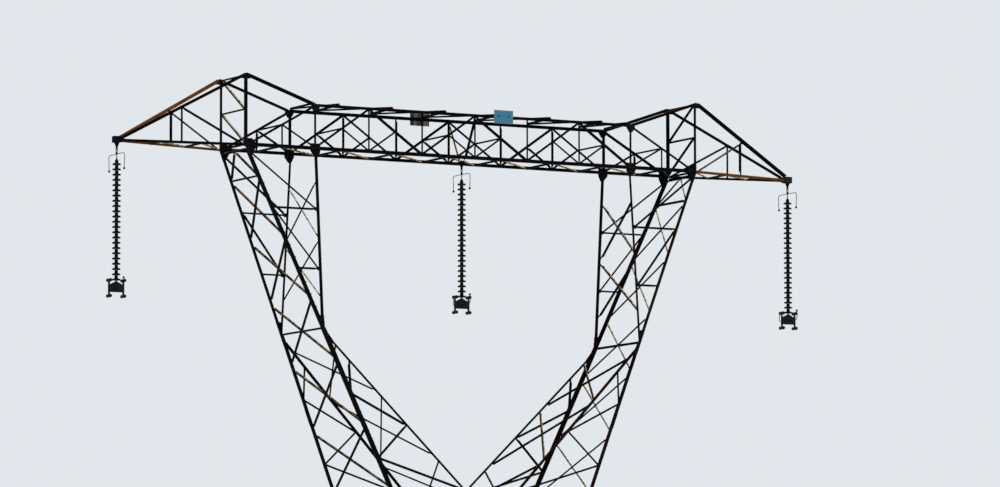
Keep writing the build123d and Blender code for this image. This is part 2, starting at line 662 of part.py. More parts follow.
def hanger_plate(x, top_z, left, right):
    """A plate across the line direction with the eye that a string hangs from."""
    eye_z = BRIDGE_Z - PIN_DROP
    outline = [
        (x - EYE_RADIUS, eye_z),
        (x - HANGER_NECK, BRIDGE_Z - HANGER_NECK_DROP),
        (x - HANGER_BROW, BRIDGE_Z - HANGER_BROW_DROP),
        (x - left, BRIDGE_Z),
        (x - left, top_z),
        (x + right, top_z),
        (x + right, BRIDGE_Z),
        (x + HANGER_BROW, BRIDGE_Z - HANGER_BROW_DROP),
        (x + HANGER_NECK, BRIDGE_Z - HANGER_NECK_DROP),
        (x + EYE_RADIUS, eye_z),
    ]
    with BuildSketch(Plane.XZ) as plate:
        with BuildLine():
            Polyline(*outline, close=True)
        make_face()
        with Locations((x, eye_z)):
            Circle(EYE_RADIUS)
            Circle(EYE_PIN_RADIUS + PIN_CLEARANCE, mode=Mode.SUBTRACT)
        with Locations((x, BRIDGE_Z - HANGER_BROW_DROP)):
            Circle(HANGER_HOLE_RADIUS, mode=Mode.SUBTRACT)
    extrude(plate.sketch, amount=PLATE_THICKNESS / 2, both=True)


# Centre hanger: a V between the two sides and the plate that the middle string hangs from
SEAT_HALF = (130.0, 200.0)
SEAT_THICKNESS = 10.0
CENTRE_PLATE_HALF = 90.0
V_FOOT = 150.0
with BuildPart() as centre_hanger:
    with BuildSketch(Plane.XY.offset(BRIDGE_Z + CHORD_T)) as seat:
        Rectangle(2 * SEAT_HALF[0], 2 * SEAT_HALF[1])
    extrude(seat.sketch, amount=-SEAT_THICKNESS)
    seat_z = BRIDGE_Z + CHORD_T - SEAT_THICKNESS / 2
    hanger_plate(0.0, seat_z, CENTRE_PLATE_HALF, CENTRE_PLATE_HALF)
    plane = Plane(origin=(0, 0, 0), x_dir=Y_AXIS, z_dir=X_AXIS)
    foot_z = BRIDGE_Z + CHORD_T
    for side in (-1, 1):
        foot = Vector(0, side * V_FOOT, foot_z)
        head_y = STRUT_REACH - MIDDLE_BRACE[0] / 2
        head = Vector(0, side * head_y, TOP_Z - GAUGE - MIDDLE_BRACE[0])
        flat_side(plane, MIDDLE_BRACE, [(foot, head)], side=-side)
write(centre_hanger.part, "centre_hanger")

# Peak frames: posts and braces across the bridge under the two peaks
PEAK_FACE_X = -OUTER_X + POST_ANGLE[1]
POST_FOOT = 20.0
POST_DROP = 100.0
FRAME_TOP_DROP = 85.0
FRAME_FOOT = 100.0
FRAME_INSET = POST_ANGLE[0] - 15.0
with BuildPart() as peak_frame:
    low_z = BRIDGE_Z + POST_FOOT
    high_z = PEAK_Z - POST_DROP
    inset = BRIDGE_HALF_DEPTH - CHORD_T
    for side in (-1, 1):
        foot = Vector(-OUTER_X, side * inset, low_z)
        angle_chord(foot, Vector(-OUTER_X, side * inset, high_z), X_AXIS, -side * Y_AXIS, POST_ANGLE)
    plane = Plane(origin=(PEAK_FACE_X, 0, 0), x_dir=Y_AXIS, z_dir=X_AXIS)
    mid_z = BRIDGE_Z + PEAK_HEIGHT / 2
    top_z = PEAK_Z - FRAME_TOP_DROP
    foot_z = BRIDGE_Z + FRAME_FOOT
    front = [Vector(PEAK_FACE_X, FRAME_INSET - inset, z) for z in (top_z, mid_z, foot_z)]
    rear = [Vector(PEAK_FACE_X, inset - FRAME_INSET, z) for z in (top_z, mid_z, foot_z)]
    flat_side(plane, LIGHT_BRACE, [(front[0], rear[0]), (front[1], rear[1])], cope=FRAME_COPE)
    flat_side(plane, LIGHT_BRACE, [(rear[0], front[1]), (rear[1], front[2])], side=-1, cope=FRAME_COPE)
write(peak_frame.part, "peak_frame_left")
with BuildPart() as peak_frame_right:
    with Locations(Location((0, 0, 0), (0, 0, 180))):
        add(peak_frame.part)
write(peak_frame_right.part, "peak_frame_right")

# Arm sides: one post near mid-length and one diagonal from its head to the bridge. The rear post of the
# left arm and the front post of the right arm stand a little nearer to the bridge.
ARM_FACE = Plane(origin=outer_low + ARM_NORMAL * ARM_ANGLE[1], x_dir=ARM_RUN.normalized(), z_dir=ARM_NORMAL)
ARM_POST_SHIFT = 90.0


def arm_point(x, height):
    """A point of the left arm's front side."""
    return Vector(-x, -arm_depth(x), BRIDGE_Z + height)


def arm_side(shift):
    """The post and the diagonal of one side of an arm, with the post moved toward the bridge."""
    middle = (TIP_X + OUTER_X) / 2
    head = TIP_HEIGHT + ARM_SLOPE * (TIP_X - middle) - GAUGE
    post = (arm_point(middle - shift, GAUGE), arm_point(middle - shift, head))
    diagonal = (arm_point(middle, head), arm_point(OUTER_X + POST_ANGLE[0], GAUGE))
    flat_side(ARM_FACE, MIDDLE_BRACE, [post, diagonal])


with BuildPart() as rear_arm_side:
    arm_side(ARM_POST_SHIFT)
with BuildPart() as arm_web:
    arm_side(0.0)
    mirror(rear_arm_side.part, about=Plane.XZ)
write(arm_web.part, "arm_webs_left")
with BuildPart() as arm_web_right:
    with Locations(Location((0, 0, 0), (0, 0, 180))):
        add(arm_web.part)
write(arm_web_right.part, "arm_webs_right")

# Arm tips: side plates over the chord ends, an end plate and the string's plate between them
TIP_OUT = 125.0
TIP_IN = 205.0
TIP_BLOCK_HEIGHT = 165.0
TIP_SILL = 45.0
TIP_PLATE_IN = 100.0
TIP_PLATE_DROP = 20.0
with BuildPart() as arm_tip:
    outside = Plane(origin=tip_low, x_dir=ARM_RUN.normalized(), z_dir=-ARM_NORMAL)
    upright = 1 if outside.y_dir.Z > 0 else -1
    knuckle = TIP_CLEAR / math.hypot(1, SIDE_SLOPE) - END_GAP
    roof = TIP_HEIGHT - ROOF_DEPTH
    ring = [(-TIP_OUT, -TIP_SILL), (TIP_PLATE_IN, -TIP_SILL), (TIP_IN, 0), (TIP_IN, roof + SIDE_SLOPE * TIP_IN)]
    ring += [(knuckle, roof + SIDE_SLOPE * knuckle), (knuckle, TIP_BLOCK_HEIGHT), (-TIP_OUT, TIP_BLOCK_HEIGHT)]
    with BuildSketch(outside) as cheek:
        with BuildLine():
            Polyline(*[(along, upright * height) for along, height in ring], close=True)
        make_face()
    extrude(cheek.sketch, amount=GUSSET_THICKNESS)
    mirror(about=Plane.XZ)
    width = 2 * (TIP_HALF_DEPTH + GUSSET_THICKNESS)
    with BuildSketch(Plane.YZ.offset(-TIP_X - TIP_OUT)) as end_plate:
        with Locations((0, BRIDGE_Z + (TIP_BLOCK_HEIGHT - TIP_SILL) / 2)):
            Rectangle(width, TIP_BLOCK_HEIGHT + TIP_SILL)
    extrude(end_plate.sketch, amount=GUSSET_THICKNESS)
    hanger_plate(-TIP_X, BRIDGE_Z + TIP_BLOCK_HEIGHT - TIP_PLATE_DROP, TIP_OUT, TIP_PLATE_IN)
write(arm_tip.part, "arm_tip_left")
mirrored(arm_tip.part, Plane.YZ, "arm_tip_right")

# Gusset plates on the outside of the chords, at the bridge's nodes and the knees. The plates at the outer
# nodes reach inward from the corner, the others lie evenly about their chord and taper.
PLATE_EDGE = 60.0
OUTER_PLATE = 375.0
OUTER_PLATE_UP = 250.0
OUTER_PLATE_DOWN = 310.0
INNER_PLATE_HALF = 180.0
INNER_PLATE_UP = 205.0
INNER_PLATE_DOWN = 250.0
INNER_PLATE_NECK = 85.0
TOP_PLATE_HALF = 160.0
TOP_PLATE_DEPTH = 275.0
TOP_PLATE_SIDE = 130.0
PEAK_HALF = 170.0
PEAK_PLATE_DEPTH = 200.0
KNEE_GUSSET_UP = 430.0
KNEE_GUSSET_DOWN = 380.0
KNEE_GUSSET_WING = 20.0
WAIST_PLATE = 330.0
CROTCH_PLATE = (420.0, 330.0)
BACK_SLOPE = (PEAK_HEIGHT - TRUSS_HEIGHT) / (OUTER_X - INNER_X)
OUTSIDE_BRIDGE = Plane(origin=(0, -BRIDGE_HALF_DEPTH, 0), x_dir=X_AXIS, z_dir=-Y_AXIS)
OUTSIDE_FACE = Plane(origin=front_point(0, BRIDGE_Z), x_dir=X_AXIS, z_dir=-FACE_NORMAL)


def plate_on(plane, points):
    """A gusset plate with its corners at points of a plane."""
    local = [plane.to_local_coords(point) for point in points]
    with BuildSketch(plane) as plate:
        with BuildLine():
            Polyline(*[(p.X, p.Y) for p in local], close=True)
        make_face()
    extrude(plate.sketch, amount=GUSSET_THICKNESS)


def upright_plate(x, z, ring):
    """A gusset plate on the outside of the bridge, with corners counted from a point of it."""
    plate_on(OUTSIDE_BRIDGE, [Vector(x + dx, -BRIDGE_HALF_DEPTH, z + dz) for dx, dz in ring])


def leaning_plate(x, ring):
    """A gusset plate on the outside of a fork under the bridge, with corners counted from its chord."""
    plate_on(OUTSIDE_FACE, [front_point(x + dx, BRIDGE_Z + dz) for dx, dz in ring])


with BuildPart() as gussets:
    up = [(0.0, 0.0), (0.0, OUTER_PLATE_UP), (OUTER_PLATE - 2 * PLATE_EDGE, OUTER_PLATE_UP)]
    up += [(OUTER_PLATE, OUTER_PLATE_UP - 2 * PLATE_EDGE), (OUTER_PLATE, 0.0)]
    upright_plate(-OUTER_X, BRIDGE_Z, up)
    lean = OUTER_SLOPE * OUTER_PLATE_DOWN
    down = [(0.0, 0.0), (OUTER_PLATE, 0.0), (OUTER_PLATE, -PLATE_EDGE)]
    down += [(lean + FORK_ANGLE[0], -OUTER_PLATE_DOWN), (lean, -OUTER_PLATE_DOWN)]
    leaning_plate(-OUTER_X, down)
    half = INNER_PLATE_HALF
    up = [(-half, 0.0), (-half, INNER_PLATE_UP), (half, INNER_PLATE_UP), (half, 0.0)]
    upright_plate(-INNER_X, BRIDGE_Z, up)
    down = [(-half, 0.0), (half, 0.0), (half, -PLATE_EDGE), (INNER_PLATE_NECK, -INNER_PLATE_DOWN)]
    down += [(-PLATE_EDGE / 2, -INNER_PLATE_DOWN), (-half, -PLATE_EDGE)]
    leaning_plate(-INNER_X, down)
    half = TOP_PLATE_HALF
    top = [(-half, 0.0), (-half, -TOP_PLATE_SIDE), (-PLATE_EDGE, -TOP_PLATE_DEPTH)]
    top += [(PLATE_EDGE, -TOP_PLATE_DEPTH), (half, -TOP_PLATE_SIDE), (half, 0.0)]
    upright_plate(-INNER_X, TOP_Z, top)
    left_drop = ROOF_DEPTH + ARM_SLOPE * PEAK_HALF
    right_drop = ROOF_DEPTH + BACK_SLOPE * PEAK_HALF
    crest = [(-PEAK_HALF, -PEAK_PLATE_DEPTH), (-PEAK_HALF, -left_drop), (0.0, -ROOF_DEPTH)]
    crest += [(PEAK_HALF, -right_drop), (PEAK_HALF, -PEAK_PLATE_DEPTH)]
    upright_plate(-OUTER_X, PEAK_Z, crest)
    mirror(about=Plane.YZ)
    mirror(about=Plane.XZ)
write(gussets.part, "bridge_gussets")

with BuildPart() as fork_gussets:
    up_z = KNEE_Z + KNEE_GUSSET_UP
    down_z = KNEE_Z - KNEE_GUSSET_DOWN
    ring = [(-outer_x(up_z), up_z), (INNER_ANGLE[0] - inner_x(up_z), up_z)]
    ring += [(INNER_ANGLE[0] - KNEE_X + KNEE_GUSSET_WING, KNEE_Z), (-inner_x(down_z), down_z)]
    ring += [(-outer_x(down_z), down_z), (-KNEE_X, KNEE_Z)]
    plate_on(OUTSIDE_FACE, [front_point(x, z) for x, z in ring])
    up_z = WAIST_Z + WAIST_PLATE
    down_z = WAIST_Z - WAIST_PLATE
    belt_up_z = WAIST_Z + WAIST_BRACE[0] / 2
    belt_down_z = WAIST_Z - WAIST_BRACE[0] / 2
    ring = [(-outer_x(z), z) for z in (down_z, WAIST_Z, up_z)]
    ring.append((-outer_x(up_z) + LOWER_FORK_ANGLE[0], up_z))
    ring += [(-WAIST_X + WAIST_PLATE, z) for z in (belt_up_z, belt_down_z)]
    ring.append((-outer_x(down_z) + LEG_ANGLE[0], down_z))
    plate_on(OUTSIDE_FACE, [front_point(x, z) for x, z in ring])
    mirror(about=Plane.YZ)
    half, rise = CROTCH_PLATE
    up_z = WAIST_Z + rise
    ring = [(-half, belt_down_z), (-half, belt_up_z), (-inner_x(up_z) - INNER_ANGLE[0], up_z)]
    ring += [(-x, z) for x, z in reversed(ring)]
    plate_on(OUTSIDE_FACE.offset(-MAIN_T), [front_point(x, z) for x, z in ring])
    mirror(about=Plane.XZ)
write(fork_gussets.part, "fork_gussets")

# Blank plates on the top chords, one at the front and one at the rear
with BuildPart() as number_plates:
    with BuildSketch(OUTSIDE_BRIDGE) as blank:
        spot = OUTSIDE_BRIDGE.to_local_coords(Vector(SIGN_X, -BRIDGE_HALF_DEPTH, TOP_Z - SIGN_DROP))
        with Locations((spot.X, spot.Y)):
            Rectangle(SIGN_WIDTH, SIGN_HEIGHT)
    extrude(blank.sketch, amount=SIGN_THICKNESS)
    with Locations(Location((0, 0, 0), (0, 0, 180))):
        add(number_plates.part)
write(number_plates.part, "number_plates")

# Insulator strings. Each hangs on a link that swings across the line, and swings along it on the link's
# lower eye. The discs are porcelain shells threaded on a chain of iron caps and pins.
EYE_Z = BRIDGE_Z - PIN_DROP
LOWER_EYE_Z = EYE_Z - LINK_LENGTH
DISC_HEIGHTS = [BRIDGE_Z - FIRST_DISC_DROP - k * DISC_PITCH for k in range(DISC_COUNT)]
LAST_DISC_Z = DISC_HEIGHTS[-1]
CHEEK_IN = PLATE_THICKNESS / 2 + CHEEK_CLEARANCE
CHEEK_OUT = CHEEK_IN + CHEEK_THICKNESS
BLOCK_TOP = EYE_RADIUS + CHEEK_CLEARANCE + EYE_RELIEF
UPPER_CLAMP_Z = LAST_DISC_Z - BUNDLE_DROP
LOWER_CLAMP_Z = UPPER_CLAMP_Z - BUNDLE_SPACING
UPPER_EAR_Z = UPPER_CLAMP_Z - CLAMP_RADIUS - CLAMP_GAP
LOWER_EAR_Z = LOWER_CLAMP_Z + CLAMP_RADIUS + CLAMP_GAP
SHOULDER_Z = UPPER_CLAMP_Z - YOKE_SHOULDER
NECK_TOP_Z = SHOULDER_Z + YOKE_NECK_RISE
NECK_HOLE_Z = NECK_TOP_Z - YOKE_NECK_HALF
YOKE_BOTTOM_Z = LOWER_CLAMP_Z + YOKE_FOOT
YOKE_IN = YOKE_THICKNESS / 2 + PIN_CLEARANCE
SOCKET_BOTTOM_Z = NECK_TOP_Z + SOCKET_GAP
HORN_Z = LOWER_EYE_Z - BLOCK_TOP - BLOCK_HEIGHT / 2
LOWER_HORN_Z = (UPPER_CLAMP_Z + LOWER_CLAMP_Z) / 2


def plate_pair(plane, x, top_z, bottom_z, half_width, inner, outer, round_z):
    """Two plates on either side of a plane, with one end rounded about an eye."""
    for side in (-1, 1):
        with BuildSketch(plane.offset(side * (inner + outer) / 2)) as cheek:
            with Locations((x, (top_z + bottom_z) / 2)):
                Rectangle(2 * half_width, top_z - bottom_z)
            with Locations((x, round_z)):
                Circle(half_width)
        extrude(cheek.sketch, amount=(outer - inner) / 2, both=True)


def cross_pin(plane, centre, radius, reach):
    """A round pin through a plane, with its ends the same distance out on both sides."""
    with BuildSketch(plane) as pin:
        with Locations(centre):
            Circle(radius)
    extrude(pin.sketch, amount=reach, both=True)


def clevis(plane, eye_z, half_x, half_y):
    """A fork below an eye: two cheeks, their pin, and the block that joins them."""
    block_z = eye_z - BLOCK_TOP - BLOCK_HEIGHT / 2
    plate_pair(plane, 0.0, eye_z, block_z, EYE_RADIUS, CHEEK_IN, CHEEK_OUT, eye_z)
    cross_pin(plane, (0.0, eye_z), EYE_PIN_RADIUS, CHEEK_OUT + PIN_HEAD)
    with BuildSketch(Plane.XY.offset(block_z)) as block:
        Rectangle(2 * half_x, 2 * half_y)
    extrude(block.sketch, amount=BLOCK_HEIGHT / 2, both=True)


with BuildPart() as link:
    clevis(Plane.XZ, EYE_Z, BLOCK_HALF, CHEEK_OUT)
    ring_z = EYE_Z - BLOCK_TOP - BLOCK_HEIGHT / 2 - RING_RADIUS
    with BuildSketch(Plane.XZ) as ring:
        with Locations((0, ring_z)):
            Circle(RING_RADIUS)
            Circle(RING_HOLE_RADIUS, mode=Mode.SUBTRACT)
    extrude(ring.sketch, amount=PLATE_THICKNESS / 2, both=True)
    tongue_top = ring_z - (RING_RADIUS + RING_HOLE_RADIUS) / 2
    with BuildSketch(Plane.YZ) as tongue:
        with Locations((0, (tongue_top + LOWER_EYE_Z) / 2)):
            Rectangle(2 * EYE_RADIUS, tongue_top - LOWER_EYE_Z)
        with Locations((0, LOWER_EYE_Z)):
            Circle(EYE_RADIUS)
            Circle(EYE_PIN_RADIUS + PIN_CLEARANCE, mode=Mode.SUBTRACT)
    extrude(tongue.sketch, amount=PLATE_THICKNESS / 2, both=True)

# Caps and pins, from the upper clevis down to the socket that carries the yoke
chain = [(0.0, HORN_Z), (ROD_RADIUS, HORN_Z)]
for number, z in enumerate(DISC_HEIGHTS):
    seat = z + CAP_SEAT
    crown = seat + CAP_HEIGHT
    if number == 0:
        mouth = crown + FIRST_SOCKET_HEIGHT
        chain += [(ROD_RADIUS, mouth), (FIRST_SOCKET_RADIUS, mouth)]
    else:
        chain.append((PIN_RADIUS, crown))
    chain += [(CAP_CROWN_RADIUS, crown), (CAP_RADIUS, crown - CAP_SHOULDER)]
    chain += [(CAP_RADIUS, seat), (PIN_RADIUS, seat)]
socket_top = LAST_DISC_Z - SKIRT_DEPTH - SHELL_FIT
chain += [(PIN_RADIUS, socket_top), (SOCKET_RADIUS, socket_top)]
chain += [(SOCKET_RADIUS, SOCKET_BOTTOM_Z), (0.0, SOCKET_BOTTOM_Z)]
with BuildPart() as core:
    clevis(Plane.YZ, LOWER_EYE_Z, CHEEK_OUT, BLOCK_HALF)
    with BuildSketch(Plane.XZ) as profile:
        with BuildLine():
            Polyline(*chain, close=True)
        make_face()
    revolve(profile.sketch, axis=Axis.Z)
    overlap_z = SOCKET_BOTTOM_Z + SOCKET_OVERLAP
    cheek_out = YOKE_IN + CHEEK_THICKNESS
    plate_pair(Plane.XZ, 0.0, overlap_z, NECK_HOLE_Z, SOCKET_RADIUS, YOKE_IN, cheek_out, NECK_HOLE_Z)
    cross_pin(Plane.XZ, (0.0, NECK_HOLE_Z), EYE_PIN_RADIUS, cheek_out + PIN_HEAD)

# One porcelain shell as radii and heights over its rim, from the pin out over the top, and back under it
# past two ribs and the skirt
OUTER_RIB = DISC_RADIUS - RIB_INSET
INNER_RIB = OUTER_RIB - RIB_SPACING
SHELL_PROFILE = [
    (PIN_RADIUS + SHELL_FIT, CAP_SEAT),
    (CAP_RADIUS + SHELL_LIP, CAP_SEAT),
    (DISC_RADIUS - SHELL_BREAK, SHELL_BREAK_SHARE * CAP_SEAT),
    (DISC_RADIUS - SHELL_EDGE, SHELL_EDGE_SHARE * CAP_SEAT),
    (DISC_RADIUS, 0.0),
    (DISC_RADIUS - SHELL_LIP, -SHELL_RIM),
    (OUTER_RIB + RIB_WIDTH / 2 + RIB_FLARE, 0.0),
    (OUTER_RIB + RIB_WIDTH / 2, -RIB_DEPTH),
    (OUTER_RIB - RIB_WIDTH / 2, -RIB_DEPTH),
    (OUTER_RIB - RIB_WIDTH / 2 - RIB_FLARE, SHELL_VAULT / 2),
    (INNER_RIB + RIB_WIDTH / 2 + RIB_FLARE, SHELL_VAULT),
    (INNER_RIB + RIB_WIDTH / 2, -RIB_DEPTH),
    (INNER_RIB - RIB_WIDTH / 2, -RIB_DEPTH),
    (INNER_RIB - RIB_WIDTH / 2 - RIB_FLARE, SHELL_VAULT),
    (SKIRT_RADIUS + SHELL_LIP, SHELL_VAULT),
    (SKIRT_RADIUS, -SKIRT_DEPTH),
    (PIN_RADIUS + SHELL_FIT, -SKIRT_DEPTH),
]

with BuildPart() as shells:
    with BuildSketch(Plane.XZ) as profile:
        for z in DISC_HEIGHTS:
            with BuildLine():
                Polyline(*[(r, z + h) for r, h in SHELL_PROFILE], close=True)
            make_face()
    revolve(profile.sketch, axis=Axis.Z)


def horn(z, turn, seat):
    """A pair of arcing horns: a flange on each side, a rod along the line, a bend and a ball."""
    for side in (-1, 1):
        with BuildSketch(Plane(origin=(0, side * seat, z), z_dir=(0, side, 0))) as flange:
            Circle(HORN_FLANGE_RADIUS)
        extrude(flange.sketch, amount=HORN_FLANGE)
        start = (0, side * (seat + HORN_FLANGE / 2), z)
        end = (0, side * (HORN_HALF_LENGTH - HORN_LEAN), z + turn)
        with BuildLine() as route:
            FilletPolyline(start, (0, side * HORN_HALF_LENGTH, z), end, radius=HORN_BEND_RADIUS)
        with BuildSketch(Plane(origin=start, z_dir=(0, side, 0))) as rod:
            Circle(HORN_ROD_RADIUS)
        sweep(rod.sketch, path=route.line)
        with Locations(end):
            Sphere(HORN_BALL_RADIUS)


with BuildPart() as horns:
    horn(HORN_Z, -HORN_DROP, BLOCK_HALF)
    horn(LOWER_HORN_Z, LOWER_HORN_RISE, YOKE_THICKNESS / 2)

# The yoke plate: a body with sloped shoulders, a neck with an eye, and an ear for each clamp
BUNDLE_HALF = BUNDLE_SPACING / 2
EAR_INNER = BUNDLE_HALF - EAR_HALF_WIDTH
EAR_OUTER = BUNDLE_HALF + EAR_HALF_WIDTH
SHOULDER_BOLT_Z = UPPER_EAR_Z - EAR_OVERLAP / 2
FOOT_BOLT_Z = LOWER_EAR_Z + EAR_OVERLAP / 2
BOLT_HEIGHTS = (SHOULDER_BOLT_Z, FOOT_BOLT_Z)
left_side = [
    (-YOKE_NECK_HALF, NECK_TOP_Z),
    (-EAR_INNER, SHOULDER_Z),
    (-EAR_INNER, UPPER_EAR_Z),
    (-EAR_OUTER, UPPER_EAR_Z),
    (-YOKE_HALF_WIDTH, SHOULDER_Z),
    (-YOKE_HALF_WIDTH, YOKE_BOTTOM_Z),
    (-EAR_OUTER, LOWER_EAR_Z),
    (-EAR_INNER, LOWER_EAR_Z),
    (-EAR_INNER, YOKE_BOTTOM_Z),
]
with BuildPart() as yoke_plate:
    with BuildSketch(Plane.XZ) as plate:
        with BuildLine():
            Polyline(*left_side, *[(-x, z) for x, z in reversed(left_side)], close=True)
        make_face()
        with Locations((0, NECK_HOLE_Z)):
            Circle(EYE_PIN_RADIUS + PIN_CLEARANCE, mode=Mode.SUBTRACT)
        with Locations(*[(x, z) for x in (-BUNDLE_HALF, BUNDLE_HALF) for z in BOLT_HEIGHTS]):
            Circle(CLAMP_BOLT_RADIUS + PIN_CLEARANCE, mode=Mode.SUBTRACT)
    extrude(plate.sketch, amount=YOKE_THICKNESS / 2, both=True)

# Suspension clamps: a sleeve round each conductor, and two straps and a bolt on the yoke's ear
STRAP_OUT = YOKE_IN + CLAMP_STRAP
with BuildPart() as clamps:
    for clamp_z, bolt_z in zip((UPPER_CLAMP_Z, LOWER_CLAMP_Z), BOLT_HEIGHTS):
        for x in (-BUNDLE_HALF, BUNDLE_HALF):
            low, high = sorted((clamp_z, bolt_z))
            plate_pair(Plane.XZ, x, high, low, STRAP_HALF_WIDTH, YOKE_IN, STRAP_OUT, bolt_z)
            cross_pin(Plane.XZ, (x, bolt_z), CLAMP_BOLT_RADIUS, STRAP_OUT + PIN_HEAD)
            cross_pin(Plane.XZ, (x, clamp_z), CLAMP_RADIUS, CLAMP_LENGTH / 2)
            with BuildSketch(Plane.XZ) as bore:
                with Locations((x, clamp_z)):
                    Circle(CONDUCTOR_RADIUS)
            extrude(bore.sketch, amount=CLAMP_LENGTH, both=True, mode=Mode.SUBTRACT)

STRING_PIECES = {
    "hanger_link": link,
    "string_caps": core,
    "string_discs": shells,
    "arcing_horns": horns,
    "yoke_plate": yoke_plate,
    "suspension_clamps": clamps,
}
for where, x in (("left", -TIP_X), ("middle", 0.0), ("right", TIP_X)):
    for name, piece in STRING_PIECES.items():
        with BuildPart() as placed:
            with Locations((x, 0, 0)):
                add(piece.part)
        write(placed.part, f"{name}_{where}")
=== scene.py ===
import math

import bmesh
import bpy
from mathutils import Matrix, Vector


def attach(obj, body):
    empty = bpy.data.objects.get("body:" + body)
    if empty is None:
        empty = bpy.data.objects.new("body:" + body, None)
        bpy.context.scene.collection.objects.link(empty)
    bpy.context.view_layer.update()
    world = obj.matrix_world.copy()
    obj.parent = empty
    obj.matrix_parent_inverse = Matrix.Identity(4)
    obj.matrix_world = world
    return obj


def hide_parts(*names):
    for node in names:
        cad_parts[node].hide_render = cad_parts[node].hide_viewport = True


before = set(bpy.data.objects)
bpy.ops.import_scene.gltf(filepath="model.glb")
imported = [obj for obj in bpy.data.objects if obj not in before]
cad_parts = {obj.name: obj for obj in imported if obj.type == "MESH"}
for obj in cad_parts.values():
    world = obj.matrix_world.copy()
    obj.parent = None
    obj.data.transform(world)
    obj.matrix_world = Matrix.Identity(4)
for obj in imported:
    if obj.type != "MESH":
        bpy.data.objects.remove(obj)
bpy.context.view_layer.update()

# Working lines of the tower, in metres
BRIDGE_Z = 25.8
TRUSS_HEIGHT = 1.51
PEAK_HEIGHT = 2.39
TIP_HEIGHT = 0.10
TIP_X = 12.675
OUTER_X = 8.51
INNER_X = 5.95
BRIDGE_HALF_DEPTH = 0.935
TIP_HALF_DEPTH = 0.095
KNEE_DROP = 5.9
KNEE_X = 5.98
WAIST_DROP = 12.0
FACE_SLOPE = 0.098
BODY_SLOPE = 0.096
BRIDGE_PANELS = 6
PANEL = 2 * INNER_X / BRIDGE_PANELS

# Panel points of the forks: the number of the knee's level, and how far apart the levels are
KNEE_LEVEL = 6
UPPER_LEVEL = KNEE_DROP / KNEE_LEVEL
LOWER_OUTER_LEVEL = 0.171 * (WAIST_DROP - KNEE_DROP)
LOWER_INNER_LEVEL = 0.168 * (WAIST_DROP - KNEE_DROP)

# Distance of the bolts from the corner of an angle, on the outer and on the inner chords
GAUGE = 0.065
INNER_GAUGE = 0.045

# Thickness of a gusset, how far a bolt at a lap is set in, and the heights of the shoes and the piers
GUSSET = 0.010
LAP = 0.012
SHOE_TOP_Z = 0.482
PIER_TOP_Z = 0.45

# Values worked out from the ones above
TOP_Z = BRIDGE_Z + TRUSS_HEIGHT
PEAK_Z = BRIDGE_Z + PEAK_HEIGHT
KNEE_Z = BRIDGE_Z - KNEE_DROP
WAIST_Z = BRIDGE_Z - WAIST_DROP
UPPER_BELT_Z = 0.688 * WAIST_Z
LOWER_BELT_Z = 0.377 * WAIST_Z
OUTER_SLOPE = (OUTER_X - KNEE_X) / KNEE_DROP
LOWER_SLOPE = KNEE_X / (KNEE_Z - WAIST_Z)
ARM_SLOPE = (PEAK_HEIGHT - TIP_HEIGHT) / (TIP_X - OUTER_X)
ARM_LEAN = (BRIDGE_HALF_DEPTH - TIP_HALF_DEPTH) / (TIP_X - OUTER_X)
BACK_SLOPE = (PEAK_HEIGHT - TRUSS_HEIGHT) / (OUTER_X - INNER_X)
WAIST_X = OUTER_X - OUTER_SLOPE * WAIST_DROP
FRONT = Vector((0, -1, 0))
FACE_NORMAL = Vector((0, -1, FACE_SLOPE)).normalized()
BODY_NORMAL = Vector((-1, 0, BODY_SLOPE)).normalized()
FORK_NORMAL = Vector((-1, 0, -OUTER_SLOPE)).normalized()

# Insulator strings, in metres: their places, the discs, and the heights of the clamps, bolts and pins
STRINGS = {"left": -TIP_X, "middle": 0.0, "right": TIP_X}
FIRST_RIM_Z = 25.06
DISC_PITCH = 0.17
DISC_COUNT = 23
BUNDLE_HALF = 0.254
UPPER_CLAMP_Z = 21.29
LOWER_CLAMP_Z = 20.782
YOKE_BOLTS_Z = (21.20, 20.872)
YOKE_NECK_Z = 21.203
PIN_Z = 25.595
LOWER_PIN_Z = 25.428

# The direction of the key light, which the painted sunlight follows, and how far a face has to look that way
# to get it
SUN_SIDE = Vector((0.72, -0.06, 0.69)).normalized()
SUNLIT_EDGE = (0.13, 0.22)

# Painted shade on the arms' upright posts, which get no painted sunlight: their reach from the middle, and
# how soft its ends are
ARM_POSTS = (10.46, 10.635)
UNLIT_EDGE = 0.01

# The blank plates on the top chords
SIGN_X = 1.08
SIGN_HALF = (0.36, 0.2225)
SIGN_Z = TOP_Z - 0.038


def half_depth(z):
    """Distance of the front and rear faces from the middle plane at a height."""
    return BRIDGE_HALF_DEPTH + FACE_SLOPE * max(0.0, BRIDGE_Z - z)


def outer_x(z):
    """Distance of the outer corner lines from the middle plane at a height."""
    if z >= WAIST_Z:
        return OUTER_X - OUTER_SLOPE * (BRIDGE_Z - z)
    return WAIST_X + BODY_SLOPE * (WAIST_Z - z)


def inner_x(z):
    """Distance of the forks' inner corner lines from the middle plane at a height."""
    if z >= KNEE_Z:
        return INNER_X + (KNEE_X - INNER_X) * (BRIDGE_Z - z) / KNEE_DROP
    return KNEE_X * (z - WAIST_Z) / (KNEE_Z - WAIST_Z)


def outer_level(level):
    """Height of a panel point on the forks' outer chords, counted down from the bridge."""
    return BRIDGE_Z - UPPER_LEVEL * min(level, KNEE_LEVEL) - LOWER_OUTER_LEVEL * max(0, level - KNEE_LEVEL)


def inner_level(level):
    """Height of a panel point on the forks' inner chords, counted down from the bridge."""
    return BRIDGE_Z - UPPER_LEVEL * min(level, KNEE_LEVEL) - LOWER_INNER_LEVEL * max(0, level - KNEE_LEVEL)


